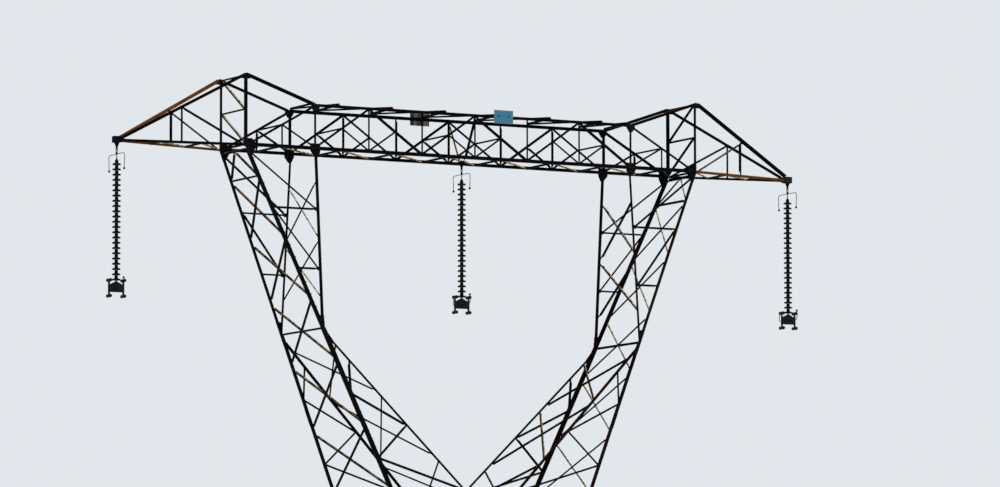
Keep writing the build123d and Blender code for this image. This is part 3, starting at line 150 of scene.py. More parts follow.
def wire(tree, kind, inputs=None, **settings):
    """Add a node with its settings, and fill or join its inputs by name or number."""
    node = tree.nodes.new(kind)
    for key, value in settings.items():
        setattr(node, key, value)
    for key, value in (inputs or {}).items():
        if isinstance(value, bpy.types.NodeSocket):
            tree.links.new(value, node.inputs[key])
        else:
            node.inputs[key].default_value = value
    return node


def blank_material(name, **shader_values):
    """A material with its shader, its object coordinates and its own surface direction."""
    material = bpy.data.materials.new(name)
    material.use_nodes = True
    tree = material.node_tree
    tree.nodes.clear()
    shader = wire(tree, "ShaderNodeBsdfPrincipled", shader_values)
    wire(tree, "ShaderNodeOutputMaterial", {"Surface": shader.outputs["BSDF"]})
    coords = tree.nodes.new("ShaderNodeTexCoord")
    return material, tree, shader, coords.outputs["Object"], coords.outputs["Normal"]


def noise(tree, place, scale, detail, seed):
    """A patch of soft noise, as a value between 0 and 1."""
    values = {"Vector": place, "W": seed, "Scale": scale, "Detail": detail, "Roughness": 0.55}
    return wire(tree, "ShaderNodeTexNoise", values, noise_dimensions="4D").outputs["Fac"]


def stretched(tree, place, scale):
    """Coordinates stretched by a scale in X, Y and Z."""
    return wire(tree, "ShaderNodeMapping", {"Vector": place, "Scale": scale}).outputs["Vector"]


def band(tree, value, low, high, start=0.0, end=1.0):
    """A value mapped smoothly from one range to another."""
    values = {"Value": value, 1: low, 2: high, 3: start, 4: end}
    return wire(tree, "ShaderNodeMapRange", values, interpolation_type="SMOOTHSTEP").outputs[0]


def math_of(tree, operation, first, second):
    """Two values joined by a sum, a product or another operation."""
    return wire(tree, "ShaderNodeMath", {0: first, 1: second}, operation=operation).outputs[0]


def times(tree, first, second):
    """Two values multiplied."""
    return math_of(tree, "MULTIPLY", first, second)


def plus(tree, first, second):
    """Two values added up."""
    return math_of(tree, "ADD", first, second)


def blend_colour(tree, share, first, second):
    """Two colours mixed by a share."""
    node = wire(tree, "ShaderNodeMix", {"Factor": share}, data_type="RGBA")
    for socket, value in ((node.inputs[6], first), (node.inputs[7], second)):
        if isinstance(value, bpy.types.NodeSocket):
            tree.links.new(value, socket)
        else:
            socket.default_value = (*value, 1)
    return node.outputs[2]


def facing(tree, normal, direction):
    """How far a surface looks along a direction, from -1 to 1."""
    values = {0: normal, 1: direction}
    return wire(tree, "ShaderNodeVectorMath", values, operation="DOT_PRODUCT").outputs["Value"]


def roughen(tree, shader, height, depth, strength=0.6):
    """Join a height to the shader's bump, with its real depth in metres."""
    bump = wire(tree, "ShaderNodeBump", {"Height": height, "Distance": depth, "Strength": strength})
    tree.links.new(bump.outputs["Normal"], shader.inputs["Normal"])


def weathered_steel_painted_sunlight(name, tones, seed, rust_from=0.60, least=0.12, shaded_outside=False, unlit_between=None):
    """Old steel: near black, rust in blotches and runs, and painted sunlight from brown to cream.

    The painted sunlight goes on faces that look towards the key light, and noise patches let at least a share
    of it through. Faces that look outwards along Y can be kept dark as painted shade, and so can what lies
    between two distances from the middle.
    """
    dark_base, brown, rust, painted_sunlit_brown, painted_sunlit_cream = tones
    material, tree, shader, place, normal = blank_material(name, **{"Specular IOR Level": 0.03})
    broad = noise(tree, place, 0.5, 2.0, seed)
    blotch = noise(tree, place, 3.5, 5.0, seed + 3.0)
    fleck = noise(tree, place, 42.0, 4.0, seed + 7.0)
    runs = noise(tree, stretched(tree, place, (22.0, 22.0, 1.1)), 1.0, 3.0, seed + 11.0)
    tone = blend_colour(tree, band(tree, broad, 0.38, 0.66), dark_base, brown)
    tone = blend_colour(tree, band(tree, runs, 0.55, 0.80, 0.0, 0.6), tone, [c * 0.45 for c in dark_base])
    grainy = times(tree, fleck, 0.25)
    rusty = plus(tree, times(tree, blotch, 0.75), grainy)
    tone = blend_colour(tree, band(tree, rusty, rust_from, rust_from + 0.14), tone, rust)
    # Painted sunlight: faces that look towards the key light turn brown, and cream in blotches where they
    # look most that way
    sun_facing = facing(tree, normal, SUN_SIDE)
    high = times(tree, band(tree, sun_facing, 0.22, 0.50), band(tree, blotch, 0.34, 0.56))
    painted_sunlit_tone = blend_colour(tree, high, painted_sunlit_brown, painted_sunlit_cream)
    # Noise patches that let only part of the painted sunlight through
    sunlight_breakup = band(tree, noise(tree, place, 5.5, 2.0, seed + 19.0), 0.43, 0.51, least, 1.0)
    share = times(tree, band(tree, sun_facing, *SUNLIT_EDGE), sunlight_breakup)
    axes = wire(tree, "ShaderNodeSeparateXYZ", {"Vector": place}).outputs
    # Painted shade: no painted sunlight between the two distances from the middle
    if unlit_between is not None:
        near, far = unlit_between
        reach = math_of(tree, "ABSOLUTE", axes["X"], 0.0)
        past_near = band(tree, reach, near - UNLIT_EDGE, near)
        before_far = band(tree, reach, far, far + UNLIT_EDGE, 1.0, 0.0)
        inside = times(tree, past_near, before_far)
        share = times(tree, share, math_of(tree, "SUBTRACT", 1.0, inside))
    # Painted shade: faces that look outwards along Y get no painted sunlight
    if shaded_outside:
        way_out = wire(tree, "ShaderNodeMath", {0: axes["Y"]}, operation="SIGN").outputs[0]
        outward = times(tree, facing(tree, normal, (0, 1, 0)), way_out)
        share = times(tree, share, band(tree, outward, 0.2, 0.6, 1.0, 0.0))
    tone = blend_colour(tree, share, tone, painted_sunlit_tone)
    tree.links.new(tone, shader.inputs["Base Color"])
    tree.links.new(band(tree, fleck, 0.3, 0.7, 0.62, 0.88), shader.inputs["Roughness"])
    roughen(tree, shader, plus(tree, fleck, noise(tree, place, 180.0, 2.0, seed + 5.0)), 0.0008)
    return material


def glazed_porcelain(name, glaze, edge, dust_and_highlight, seed):
    """Brown glaze: darker where it pools, dust and a painted highlight towards the key light, and a fine
    waviness.
    """
    values = {"Specular IOR Level": 0.06, "Coat Weight": 0.03}
    material, tree, shader, place, normal = blank_material(name, **values)
    cloud = noise(tree, place, 9.0, 3.0, seed)
    speck = noise(tree, place, 120.0, 2.0, seed + 2.0)
    tone = blend_colour(tree, band(tree, cloud, 0.35, 0.7), glaze, edge)
    # Dust and painted highlight: specks of a pale tone on faces that look towards the key light
    upward = band(tree, facing(tree, normal, SUN_SIDE), 0.55, 0.95)
    dust_and_highlight_mask = times(tree, upward, band(tree, speck, 0.30, 0.75, 0.05, 0.45))
    tone = blend_colour(tree, dust_and_highlight_mask, tone, dust_and_highlight)
    tree.links.new(tone, shader.inputs["Base Color"])
    tree.links.new(band(tree, speck, 0.3, 0.7, 0.14, 0.34), shader.inputs["Roughness"])
    roughen(tree, shader, noise(tree, place, 26.0, 2.0, seed + 4.0), 0.0006, 0.35)
    return material


def zinc_fitting(name, zinc, dull, rust, seed, metallic=0.55, shine=0.2):
    """Hot-dip zinc gone dull, with spangle, dark pits, a little rust and a painted highlight towards the key
    light.
    """
    values = {"Metallic": metallic, "Specular IOR Level": shine}
    material, tree, shader, place, normal = blank_material(name, **values)
    spangle = wire(tree, "ShaderNodeTexVoronoi", {"Vector": place, "Scale": 75.0}).outputs["Color"]
    grey = wire(tree, "ShaderNodeRGBToBW", {"Color": spangle}).outputs[0]
    blotch = noise(tree, place, 11.0, 5.0, seed)
    pit = noise(tree, place, 90.0, 3.0, seed + 2.0)
    tone = blend_colour(tree, band(tree, blotch, 0.35, 0.68), zinc, dull)
    tone = blend_colour(tree, band(tree, grey, 0.2, 0.8, 0.0, 0.25), tone, [c * 1.9 for c in zinc])
    tone = blend_colour(tree, band(tree, pit, 0.62, 0.74, 0.0, 0.8), tone, rust)
    # Painted highlight: faces that look towards the key light get a paler zinc in blotches
    lit = band(tree, facing(tree, normal, SUN_SIDE), 0.35, 0.95, 0.0, 0.55)
    share = times(tree, lit, band(tree, blotch, 0.3, 0.7))
    tone = blend_colour(tree, share, tone, [c * 3.2 for c in zinc])
    tree.links.new(tone, shader.inputs["Base Color"])
    tree.links.new(band(tree, grey, 0.0, 1.0, 0.38, 0.62), shader.inputs["Roughness"])
    roughen(tree, shader, pit, 0.0005, 0.5)
    return material


def cast_concrete(name, pale, stain, moss, seed):
    """Board-marked concrete, stained from the top down and green near the ground."""
    material, tree, shader, place, _ = blank_material(name, Roughness=0.92)
    cloud = noise(tree, place, 2.2, 6.0, seed)
    grit = noise(tree, place, 95.0, 4.0, seed + 3.0)
    drip = noise(tree, stretched(tree, place, (9.0, 9.0, 0.7)), 1.0, 4.0, seed + 5.0)
    height = wire(tree, "ShaderNodeSeparateXYZ", {"Vector": place}).outputs["Z"]
    tone = blend_colour(tree, band(tree, cloud, 0.3, 0.7), pale, [c * 0.72 for c in pale])
    tone = blend_colour(tree, band(tree, drip, 0.50, 0.78, 0.0, 0.7), tone, stain)
    low = times(tree, band(tree, height, 0.02, 0.22, 0.85, 0.0), band(tree, cloud, 0.35, 0.6))
    tone = blend_colour(tree, low, tone, moss)
    tone = blend_colour(tree, band(tree, grit, 0.55, 0.75, 0.0, 0.5), tone, [c * 0.5 for c in pale])
    tree.links.new(tone, shader.inputs["Base Color"])
    boards = wire(tree, "ShaderNodeTexWave", {"Vector": place, "Scale": 1.6, "Distortion": 0.6},
                  bands_direction="Z", wave_profile="SAW").outputs["Fac"]
    roughen(tree, shader, plus(tree, grit, times(tree, boards, 0.8)), 0.004)
    return material


def sign_paint(name, face, shade, border, back, streaks, seed):
    """A blank painted plate: faded face with a dull rim, and a streaky brown back."""
    material, tree, shader, place, normal = blank_material(name, **{"Specular IOR Level": 0.3})
    axes = wire(tree, "ShaderNodeSeparateXYZ", {"Vector": place}).outputs
    across = math_of(tree, "SUBTRACT", math_of(tree, "ABSOLUTE", axes["X"], 0.0), SIGN_X)
    over = math_of(tree, "SUBTRACT", axes["Z"], SIGN_Z)
    side_edge = math_of(tree, "SUBTRACT", SIGN_HALF[0], math_of(tree, "ABSOLUTE", across, 0.0))
    top_edge = math_of(tree, "SUBTRACT", SIGN_HALF[1], math_of(tree, "ABSOLUTE", over, 0.0))
    inset = math_of(tree, "MINIMUM", side_edge, top_edge)
    fade = noise(tree, place, 5.0, 4.0, seed)
    streak = noise(tree, stretched(tree, place, (15.0, 15.0, 0.5)), 1.0, 3.0, seed + 2.0)
    tone = blend_colour(tree, band(tree, fade, 0.35, 0.62), face, shade)
    tone = blend_colour(tree, band(tree, inset, 0.034, 0.026), tone, border)
    tone = blend_colour(tree, band(tree, streak, 0.60, 0.82, 0.0, 0.5), tone, back)
    behind = blend_colour(tree, band(tree, streak, 0.44, 0.60), back, streaks)
    way_out = wire(tree, "ShaderNodeMath", {0: axes["Y"]}, operation="SIGN").outputs[0]
    outward = times(tree, facing(tree, normal, (0, 1, 0)), way_out)
    tone = blend_colour(tree, band(tree, outward, 0.0, 0.5), behind, tone)
    tree.links.new(tone, shader.inputs["Base Color"])
    tree.links.new(band(tree, fade, 0.3, 0.7, 0.45, 0.65), shader.inputs["Roughness"])
    roughen(tree, shader, noise(tree, place, 60.0, 3.0, seed + 6.0), 0.0004, 0.4)
    return material


def pale_floor(name, tone):
    """The plain floor, with a barely visible unevenness."""
    material, tree, shader, place, _ = blank_material(name, Roughness=0.85)
    cloud = noise(tree, place, 0.08, 3.0, 1.0)
    tree.links.new(blend_colour(tree, cloud, tone, [c * 0.97 for c in tone]), shader.inputs["Base Color"])
    return material


# Tones of the steels: dark base, brown, rust, and the painted sunlight's brown and cream
TOWER_TONES = ((0.0016, 0.0012, 0.0014), (0.0034, 0.0022, 0.0019), (0.014, 0.0055, 0.0025),
               (0.150, 0.072, 0.024), (0.52, 0.40, 0.22))
CHORD_TONES = ((0.0015, 0.0011, 0.0013), (0.0032, 0.0019, 0.0017), (0.013, 0.0050, 0.0022),
               (0.135, 0.046, 0.007), (0.24, 0.14, 0.06))
RUSTY_CHORD_TONES = ((0.0048, 0.0012, 0.0008), (0.0130, 0.0036, 0.0010), (0.030, 0.009, 0.0020),
                     *CHORD_TONES[3:])
TOP_CHORD_TONES = (*CHORD_TONES[:3], (0.145, 0.055, 0.012), CHORD_TONES[4])
GUSSET_TONES = ((0.0018, 0.0027, 0.0046), (0.0033, 0.0047, 0.0075), (0.010, 0.006, 0.0035),
                (0.030, 0.022, 0.016), (0.12, 0.10, 0.075))

TOWER_STEEL = weathered_steel_painted_sunlight("tower_steel", TOWER_TONES, 1.0)
ARM_WEB_STEEL = weathered_steel_painted_sunlight("arm_web_steel", TOWER_TONES, 1.0, unlit_between=ARM_POSTS)
CHORD_STEEL = weathered_steel_painted_sunlight("chord_steel", CHORD_TONES, 4.0, 0.62, 0.7)
RUSTY_CHORD_STEEL = weathered_steel_painted_sunlight("rusty_chord_steel", RUSTY_CHORD_TONES, 5.0, 0.56, 0.7)
TOP_CHORD_STEEL = weathered_steel_painted_sunlight("top_chord_steel", TOP_CHORD_TONES, 4.0, 0.62, 0.7, shaded_outside=True)
GUSSET_STEEL = weathered_steel_painted_sunlight("gusset_steel", GUSSET_TONES, 9.0, 0.68)
BOLT_STEEL = zinc_fitting("bolt_steel", (0.010, 0.0085, 0.0080), (0.005, 0.004, 0.0038),
                          (0.020, 0.009, 0.004), 2.0, 0.2)
FITTING_STEEL = zinc_fitting("fitting_steel", (0.0065, 0.0085, 0.0085), (0.003, 0.004, 0.0045),
                             (0.03, 0.016, 0.007), 5.0)
HORN_STEEL = zinc_fitting("horn_steel", (0.0040, 0.0052, 0.0080), (0.0022, 0.0028, 0.0045),
                          (0.014, 0.008, 0.004), 8.0, 0.2, 0.05)
CAP_IRON = zinc_fitting("cap_iron", (0.0020, 0.0018, 0.0018), (0.0012, 0.0011, 0.0011),
                        (0.010, 0.005, 0.0025), 12.0, 0.0, 0.04)
PORCELAIN = glazed_porcelain("porcelain", (0.0022, 0.0014, 0.0012), (0.0055, 0.0028, 0.0020),
                             (0.045, 0.031, 0.021), 3.0)
CONCRETE = cast_concrete("concrete", (0.42, 0.40, 0.36), (0.20, 0.17, 0.13), (0.10, 0.13, 0.06), 6.0)
MORTAR = cast_concrete("mortar", (0.34, 0.33, 0.31), (0.18, 0.15, 0.12), (0.10, 0.12, 0.07), 16.0)
SIGN_PAINT = sign_paint("sign_paint", (0.022, 0.170, 0.350), (0.036, 0.190, 0.290), (0.115, 0.190, 0.205),
                        (0.011, 0.008, 0.010), (0.15, 0.13, 0.13), 2.0)


def plain_object(name, mesh, material):
    """An object at the origin with one material."""
    piece = bpy.data.objects.new(name, mesh)
    bpy.context.scene.collection.objects.link(piece)
    if material is not None:
        mesh.materials.clear()
        mesh.materials.append(material)
    return piece


def from_bmesh(name, shape, material, smooth_below=None):
    """An object made from a bmesh, with soft edges below an angle in degrees."""
    bmesh.ops.recalc_face_normals(shape, faces=shape.faces)
    mesh = bpy.data.meshes.new(name)
    shape.to_mesh(mesh)
    shape.free()
    if smooth_below is not None:
        mesh.polygons.foreach_set("use_smooth", [True] * len(mesh.polygons))
        mesh.set_sharp_from_angle(angle=math.radians(smooth_below))
    return plain_object(name, mesh, material)


def lathe(shape, profile, centre, axis, facets):
    """Turn a closed profile of (distance along the axis, radius) about an axis through a centre."""
    along = Vector(axis).normalized()
    across = along.orthogonal().normalized()
    third = along.cross(across)
    rings = []
    for k in range(facets):
        turn = 2 * math.pi * k / facets
        out = across * math.cos(turn) + third * math.sin(turn)
        rings.append([shape.verts.new(Vector(centre) + along * d + out * r) for d, r in profile])
    for k, ring in enumerate(rings):
        other = rings[(k + 1) % facets]
        for j in range(len(profile)):
            i = (j + 1) % len(profile)
            shape.faces.new((ring[j], ring[i], other[i], other[j]))


def slab(shape, corners, thickness):
    """A flat plate: a ring of corners, thickened along the direction of the vector."""
    near = [shape.verts.new(Vector(c)) for c in corners]
    far = [shape.verts.new(Vector(c) + Vector(thickness)) for c in corners]
    shape.faces.new(near)
    shape.faces.new(list(reversed(far)))
    for k in range(len(corners)):
        j = (k + 1) % len(corners)
        shape.faces.new((near[k], far[k], far[j], near[j]))


def rounded(profile):
    """A profile with its corners cut once, which rounds it."""
    near, far = 0.78, 0.22
    result = []
    for k, (a, b) in enumerate(profile):
        c, d = profile[(k + 1) % len(profile)]
        result += [(near * a + far * c, near * b + far * d), (far * a + near * c, far * b + near * d)]
    return result


def new_tree(name, sizes):
    """A geometry tree with named inputs for its sizes, and the sockets that give them."""
    tree = bpy.data.node_groups.new(name, "GeometryNodeTree")
    tree.interface.new_socket("Geometry", in_out="INPUT", socket_type="NodeSocketGeometry")
    tree.interface.new_socket("Geometry", in_out="OUTPUT", socket_type="NodeSocketGeometry")
    for label, kind in sizes.items():
        tree.interface.new_socket(label, in_out="INPUT", socket_type=kind)
    return tree, tree.nodes.new("NodeGroupInput").outputs


def close_tree(tree, geometry, material):
    """End a tree: real geometry instead of instances, and its material."""
    real = wire(tree, "GeometryNodeRealizeInstances", {"Geometry": geometry})
    painted = wire(tree, "GeometryNodeSetMaterial", {"Geometry": real.outputs[0], "Material": material})
    wire(tree, "NodeGroupOutput", {"Geometry": painted.outputs[0]})


def grown(name, seed_mesh, tree, sizes, material):
    """Run a tree on a mesh with the given sizes, and keep the result as a plain mesh."""
    source = plain_object(f"{name}_source", seed_mesh, None)
    modifier = source.modifiers.new("grow", "NODES")
    modifier.node_group = tree
    for item in tree.interface.items_tree:
        if item.in_out == "INPUT" and item.name in sizes:
            modifier[item.identifier] = sizes[item.name]
    graph = bpy.context.evaluated_depsgraph_get()
    mesh = bpy.data.meshes.new_from_object(source.evaluated_get(graph))
    source.modifiers.remove(modifier)
    bpy.data.objects.remove(source)
    mesh.name = name
    return plain_object(name, mesh, material)


def drum(tree, radius, sides, depth, middle):
    """A prism along Z with its number of sides and its middle at a height."""
    sizes = {"Vertices": sides, "Radius": radius, "Depth": depth}
    shape = wire(tree, "GeometryNodeMeshCylinder", sizes).outputs["Mesh"]
    place = wire(tree, "ShaderNodeCombineXYZ", {"Z": middle}).outputs[0]
    return wire(tree, "GeometryNodeTransform", {"Geometry": shape, "Translation": place}).outputs[0]


def joined(tree, parts):
    """The pieces of a tree as one."""
    node = tree.nodes.new("GeometryNodeJoinGeometry")
    for part in parts:
        tree.links.new(part, node.inputs[0])
    return node.outputs[0]


def random_turn(tree, most, seed):
    """A random turn about Z, up to an angle."""
    values = {2: 0.0, 3: most, "Seed": seed}
    angle = wire(tree, "FunctionNodeRandomValue", values, data_type="FLOAT").outputs[1]
    return wire(tree, "FunctionNodeAxisAngleToRotation", {"Axis": (0, 0, 1), "Angle": angle}).outputs[0]


# A hexagon's corner radius as a share of its width, and the washer and the shank as shares of that radius
HEX_CORNER = 0.577
WASHER_SHARE = 1.2
SHANK_SHARE = 0.55

# The most that a bolt and a disc are turned, in radians
HEX_TURN = 1.05
FULL_TURN = 6.28


def bolt_tree(material):
    """Hex bolts through a plate: head and washer outside, nut and thread end inside."""
    sizes = {label: "NodeSocketFloat" for label in ("Head Width", "Head Height", "Washer", "Grip", "Thread")}
    tree, given = new_tree("bolts_at_points", sizes | {"Twist Seed": "NodeSocketInt"})
    height, grip, washer, thread = (given[label] for label in ("Head Height", "Grip", "Washer", "Thread"))
    radius = times(tree, given["Head Width"], HEX_CORNER)
    half_height = times(tree, height, 0.5)
    nut_end = plus(tree, grip, height)
    bolt = joined(tree, [
        drum(tree, radius, 6, height, plus(tree, half_height, washer)),
        drum(tree, times(tree, radius, WASHER_SHARE), 10, washer, times(tree, washer, 0.5)),
        drum(tree, radius, 6, height, times(tree, plus(tree, grip, half_height), -1.0)),
        drum(tree, times(tree, radius, SHANK_SHARE), 8, thread,
             times(tree, plus(tree, nut_end, times(tree, thread, 0.5)), -1.0)),
    ])
    kind = {"data_type": "FLOAT_VECTOR"}
    outward = wire(tree, "GeometryNodeInputNamedAttribute", {"Name": "outward"}, **kind).outputs[0]
    aimed = wire(tree, "FunctionNodeAlignRotationToVector", {"Vector": outward}, axis="Z").outputs[0]
    twist = random_turn(tree, HEX_TURN, given["Twist Seed"])
    both = {"Rotation": aimed, "Rotate By": twist}
    turned = wire(tree, "FunctionNodeRotateRotation", both, rotation_space="LOCAL").outputs[0]
    put = {"Points": given["Geometry"], "Instance": bolt, "Rotation": turned}
    close_tree(tree, wire(tree, "GeometryNodeInstanceOnPoints", put).outputs[0], material)
    return tree


def bolts(name, spots, body, width=0.030, grip=0.020, thread=0.012, slot="tower_steel"):
    """Bolts at a list of (point, outward direction), as one mesh that rides on a body."""
    mesh = bpy.data.meshes.new(f"{name}_points")
    mesh.from_pydata([point for point, _ in spots], [], [])
    attribute = mesh.attributes.new("outward", "FLOAT_VECTOR", "POINT")
    attribute.data.foreach_set("vector", [c for _, direction in spots for c in direction])
    sizes = {"Head Width": width, "Head Height": width * 0.5, "Washer": 0.004}
    sizes |= {"Grip": grip, "Thread": thread, "Twist Seed": 7}
    piece = grown(name, mesh, BOLT_TREE, sizes, BOLT_STEEL)
    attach(piece, body)


# A step bolt's head at its far end, and its nuts on both sides of the leg
STEP_HEAD_THICKNESS = 0.010
STEP_NUT_HEIGHT = 0.014
OUTER_NUT_MIDDLE = 0.012
INNER_NUT_MIDDLE = -0.024


def step_tree(material):
    """Long step bolts along a leg: a rod, a head at its far end and a nut on both sides of the leg."""
    sizes = {label: "NodeSocketFloat" for label in ("Spacing", "Length", "Rod Width", "Head Width")}
    tree, given = new_tree("steps_up_leg", sizes | {"Outward": "NodeSocketVector"})
    path = wire(tree, "GeometryNodeMeshToCurve", {"Mesh": given["Geometry"]}).outputs[0]
    along = {"Curve": path, "Length": given["Spacing"]}
    points = wire(tree, "GeometryNodeCurveToPoints", along, mode="LENGTH")
    length, head = given["Length"], given["Head Width"]
    step = joined(tree, [
        drum(tree, times(tree, given["Rod Width"], 0.5), 10, length, times(tree, length, 0.5)),
        drum(tree, times(tree, head, HEX_CORNER), 8, STEP_HEAD_THICKNESS, length),
        drum(tree, times(tree, head, 0.5), 6, STEP_NUT_HEIGHT, OUTER_NUT_MIDDLE),
        drum(tree, times(tree, head, 0.5), 6, STEP_NUT_HEIGHT, INNER_NUT_MIDDLE),
    ])
    aimed = wire(tree, "FunctionNodeAlignRotationToVector", {"Vector": given["Outward"]}, axis="Z").outputs[0]
    put = {"Points": points.outputs["Points"], "Instance": step, "Rotation": aimed}
    close_tree(tree, wire(tree, "GeometryNodeInstanceOnPoints", put).outputs[0], material)
    return tree


def stack_tree(material):
    """The piece it is given, repeated downwards, each at a random turn."""
    sizes = {"Count": "NodeSocketInt", "Pitch": "NodeSocketFloat", "Turn Seed": "NodeSocketInt"}
    tree, given = new_tree("stack_down", sizes)
    drop = wire(tree, "ShaderNodeCombineXYZ", {"Z": times(tree, given["Pitch"], -1.0)}).outputs[0]
    line = wire(tree, "GeometryNodeMeshLine", {"Count": given["Count"], "Offset": drop}).outputs["Mesh"]
    turn = random_turn(tree, FULL_TURN, given["Turn Seed"])
    put = {"Points": line, "Instance": given["Geometry"], "Rotation": turn}
    close_tree(tree, wire(tree, "GeometryNodeInstanceOnPoints", put).outputs[0], material)
    return tree


BOLT_TREE = bolt_tree(BOLT_STEEL)

# The finish of each CAD node, by the start of its name
FINISHES = {
    "footings": CONCRETE,
    "number_plates": SIGN_PAINT,
    "string_caps": CAP_IRON,
    "string_discs": PORCELAIN,
    "arcing_horns": HORN_STEEL,
    "hanger_link": HORN_STEEL,
    "yoke_plate": FITTING_STEEL,
    "suspension_clamps": FITTING_STEEL,
    "bridge_gussets": GUSSET_STEEL,
    "fork_gussets": GUSSET_STEEL,
    "body_legs": CHORD_STEEL,
    "fork_chords_right": RUSTY_CHORD_STEEL,
    "fork_chords_left": CHORD_STEEL,
    "bridge_bottom_chords": CHORD_STEEL,
    "bridge_top_chords": TOP_CHORD_STEEL,
    "arm_tip": GUSSET_STEEL,
    "arm_webs": ARM_WEB_STEEL,
}


def finish_of(name):
    """The finish that belongs to a CAD node, which is the tower's plain steel if no other is given."""
    for start, material in FINISHES.items():
        if name.startswith(start):
            return material
    return TOWER_STEEL


for node_name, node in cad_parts.items():
    for place in node.material_slots:
        place.material = finish_of(node_name)

# Bolts of the tower. A spot is a point and the direction that the bolt's head looks.
UP = Vector((0, 0, 1))
DOWN = Vector((0, 0, -1))
SIDES = [(sx, sy) for sx in (-1, 1) for sy in (-1, 1)]


def mirrored(spots):
    """Spots of the left front quarter, repeated in all four quarters."""
    result = []
    for sx, sy in SIDES:
        for point, out in spots:
            spot = Vector((point[0] * -sx, point[1] * -sy, point[2]))
            result.append((spot, Vector((out[0] * -sx, out[1] * -sy, out[2]))))
    return result


def face_spot(x, z, lift=0.0):
    """A bolt on the sloping front face, lifted off it by a plate's thickness."""
    return Vector((x, -half_depth(z), z)) + FACE_NORMAL * lift, FACE_NORMAL


def bridge_spot(x, z, lift=0.0):
    """A bolt on the bridge's upright front face."""
    return Vector((x, -BRIDGE_HALF_DEPTH - lift, z)), FRONT


def side_spot(z, normal, inset=GAUGE):
    """A bolt on the outer side, near the front corner."""
    return Vector((-outer_x(z), -half_depth(z) + inset, z)), normal


def run_of(start, step, count):
    """Evenly spaced distances."""
    return [start + step * k for k in range(count)]


# Rows of gusset bolts along the plates: start, step and count, counted from the plate's node
OUTER_ROW = (0.05, 0.065, 5)
POST_ROW = (0.12, 0.05, 3)
BRACE_ROW = (0.10, 0.07, 2)
CHORD_ROW = (0.07, 0.055, 4)
INNER_ROW = (-0.14, 0.056, 6)
HANGING_ROW = (0.06, 0.05, 3)
PEAK_ROW = (0.03, 0.05, 3)
KNEE_ROW = (-0.33, 0.115, 7)

# Bolts of the same plates that are not in even rows, and the rows' distances from the node or the corner
CHORD_PAIR = (0.03, 0.075)
BRACE_BOLTS = (-0.12, -0.03, 0.03, 0.12)
TOP_BOLTS = (-0.13, -0.045, 0.045, 0.13)
TOP_POST_BOLTS = (0.13, 0.18, 0.23)
PEAK_POST_BOLTS = (0.13, 0.17)
WAIST_BOLTS = (-0.26, -0.20, -0.14, 0.14, 0.20, 0.26)
BELT_PAIR = (-0.035, 0.035)
BELT_OUTER_BOLTS = (0.14, 0.20, 0.26)
BELT_MIDDLE_BOLTS = (-0.34, -0.24, -0.14)
POST_INSET = 0.045
HANGING_INSET = 0.04
KNEE_INSET = 0.05
WAIST_INSET = 0.06
OUTER_RISE = 0.055
INNER_RISE = 0.05
BRACE_RISE = 0.15
TOP_DROP = 0.05
PEAK_DROP = 0.055

# Where the bridge's first brace starts and its direction, and where the inner chord's bolts at the knee start
BRACE_START = 0.1375
BRACE_WAY = (0.87, 0.49)
KNEE_REACH = 0.1

quarter = []
for dx in run_of(*OUTER_ROW):
    quarter.append(bridge_spot(-OUTER_X + dx, BRIDGE_Z + OUTER_RISE, GUSSET))
for dz in run_of(*POST_ROW):
    quarter.append(bridge_spot(-OUTER_X + POST_INSET, BRIDGE_Z + dz, GUSSET))
for reach in run_of(*BRACE_ROW):
    x = -OUTER_X + BRACE_START + BRACE_WAY[0] * reach
    quarter.append(bridge_spot(x, BRIDGE_Z + GAUGE + BRACE_WAY[1] * reach, GUSSET))
for dz in run_of(*CHORD_ROW):
    for dx in CHORD_PAIR:
        quarter.append(face_spot(-OUTER_X + OUTER_SLOPE * dz + dx, BRIDGE_Z - dz, GUSSET))
for dx in run_of(*INNER_ROW):
    quarter.append(bridge_spot(-INNER_X + dx, BRIDGE_Z + INNER_RISE, GUSSET))
for dx in BRACE_BOLTS:
    quarter.append(bridge_spot(-INNER_X + dx, BRIDGE_Z + BRACE_RISE, GUSSET))
for dz in run_of(*HANGING_ROW):
    quarter.append(face_spot(-INNER_X + HANGING_INSET, BRIDGE_Z - dz, GUSSET))
for dx in TOP_BOLTS:
    quarter.append(bridge_spot(-INNER_X + dx, TOP_Z - TOP_DROP, GUSSET))
for dz in TOP_POST_BOLTS:
    quarter.append(bridge_spot(-INNER_X, TOP_Z - dz, GUSSET))
for dx in run_of(*PEAK_ROW):
    quarter.append(bridge_spot(-OUTER_X - dx, PEAK_Z - PEAK_DROP - ARM_SLOPE * dx, GUSSET))
    quarter.append(bridge_spot(-OUTER_X + dx, PEAK_Z - PEAK_DROP - BACK_SLOPE * dx, GUSSET))
quarter += [bridge_spot(-OUTER_X + POST_INSET, PEAK_Z - dz, GUSSET) for dz in PEAK_POST_BOLTS]
for rise in run_of(*KNEE_ROW):
    z = KNEE_Z + rise
    quarter.append(face_spot(-outer_x(z) + KNEE_INSET, z, GUSSET))
    if rise > KNEE_REACH:
        quarter.append(face_spot(-inner_x(z) + HANGING_INSET, z, GUSSET))
    if rise < -KNEE_REACH:
        quarter.append(face_spot(-inner_x(z) - KNEE_INSET, z, GUSSET))
for dz in WAIST_BOLTS:
    quarter.append(face_spot(-outer_x(WAIST_Z + dz) + WAIST_INSET, WAIST_Z + dz, GUSSET))
for dz in BELT_PAIR:
    quarter += [face_spot(-WAIST_X + dx, WAIST_Z + dz, GUSSET) for dx in BELT_OUTER_BOLTS]
    quarter += [face_spot(dx, WAIST_Z + dz) for dx in BELT_MIDDLE_BOLTS]
bolts("gusset_bolts", mirrored(quarter), "tower", slot="gusset_steel")

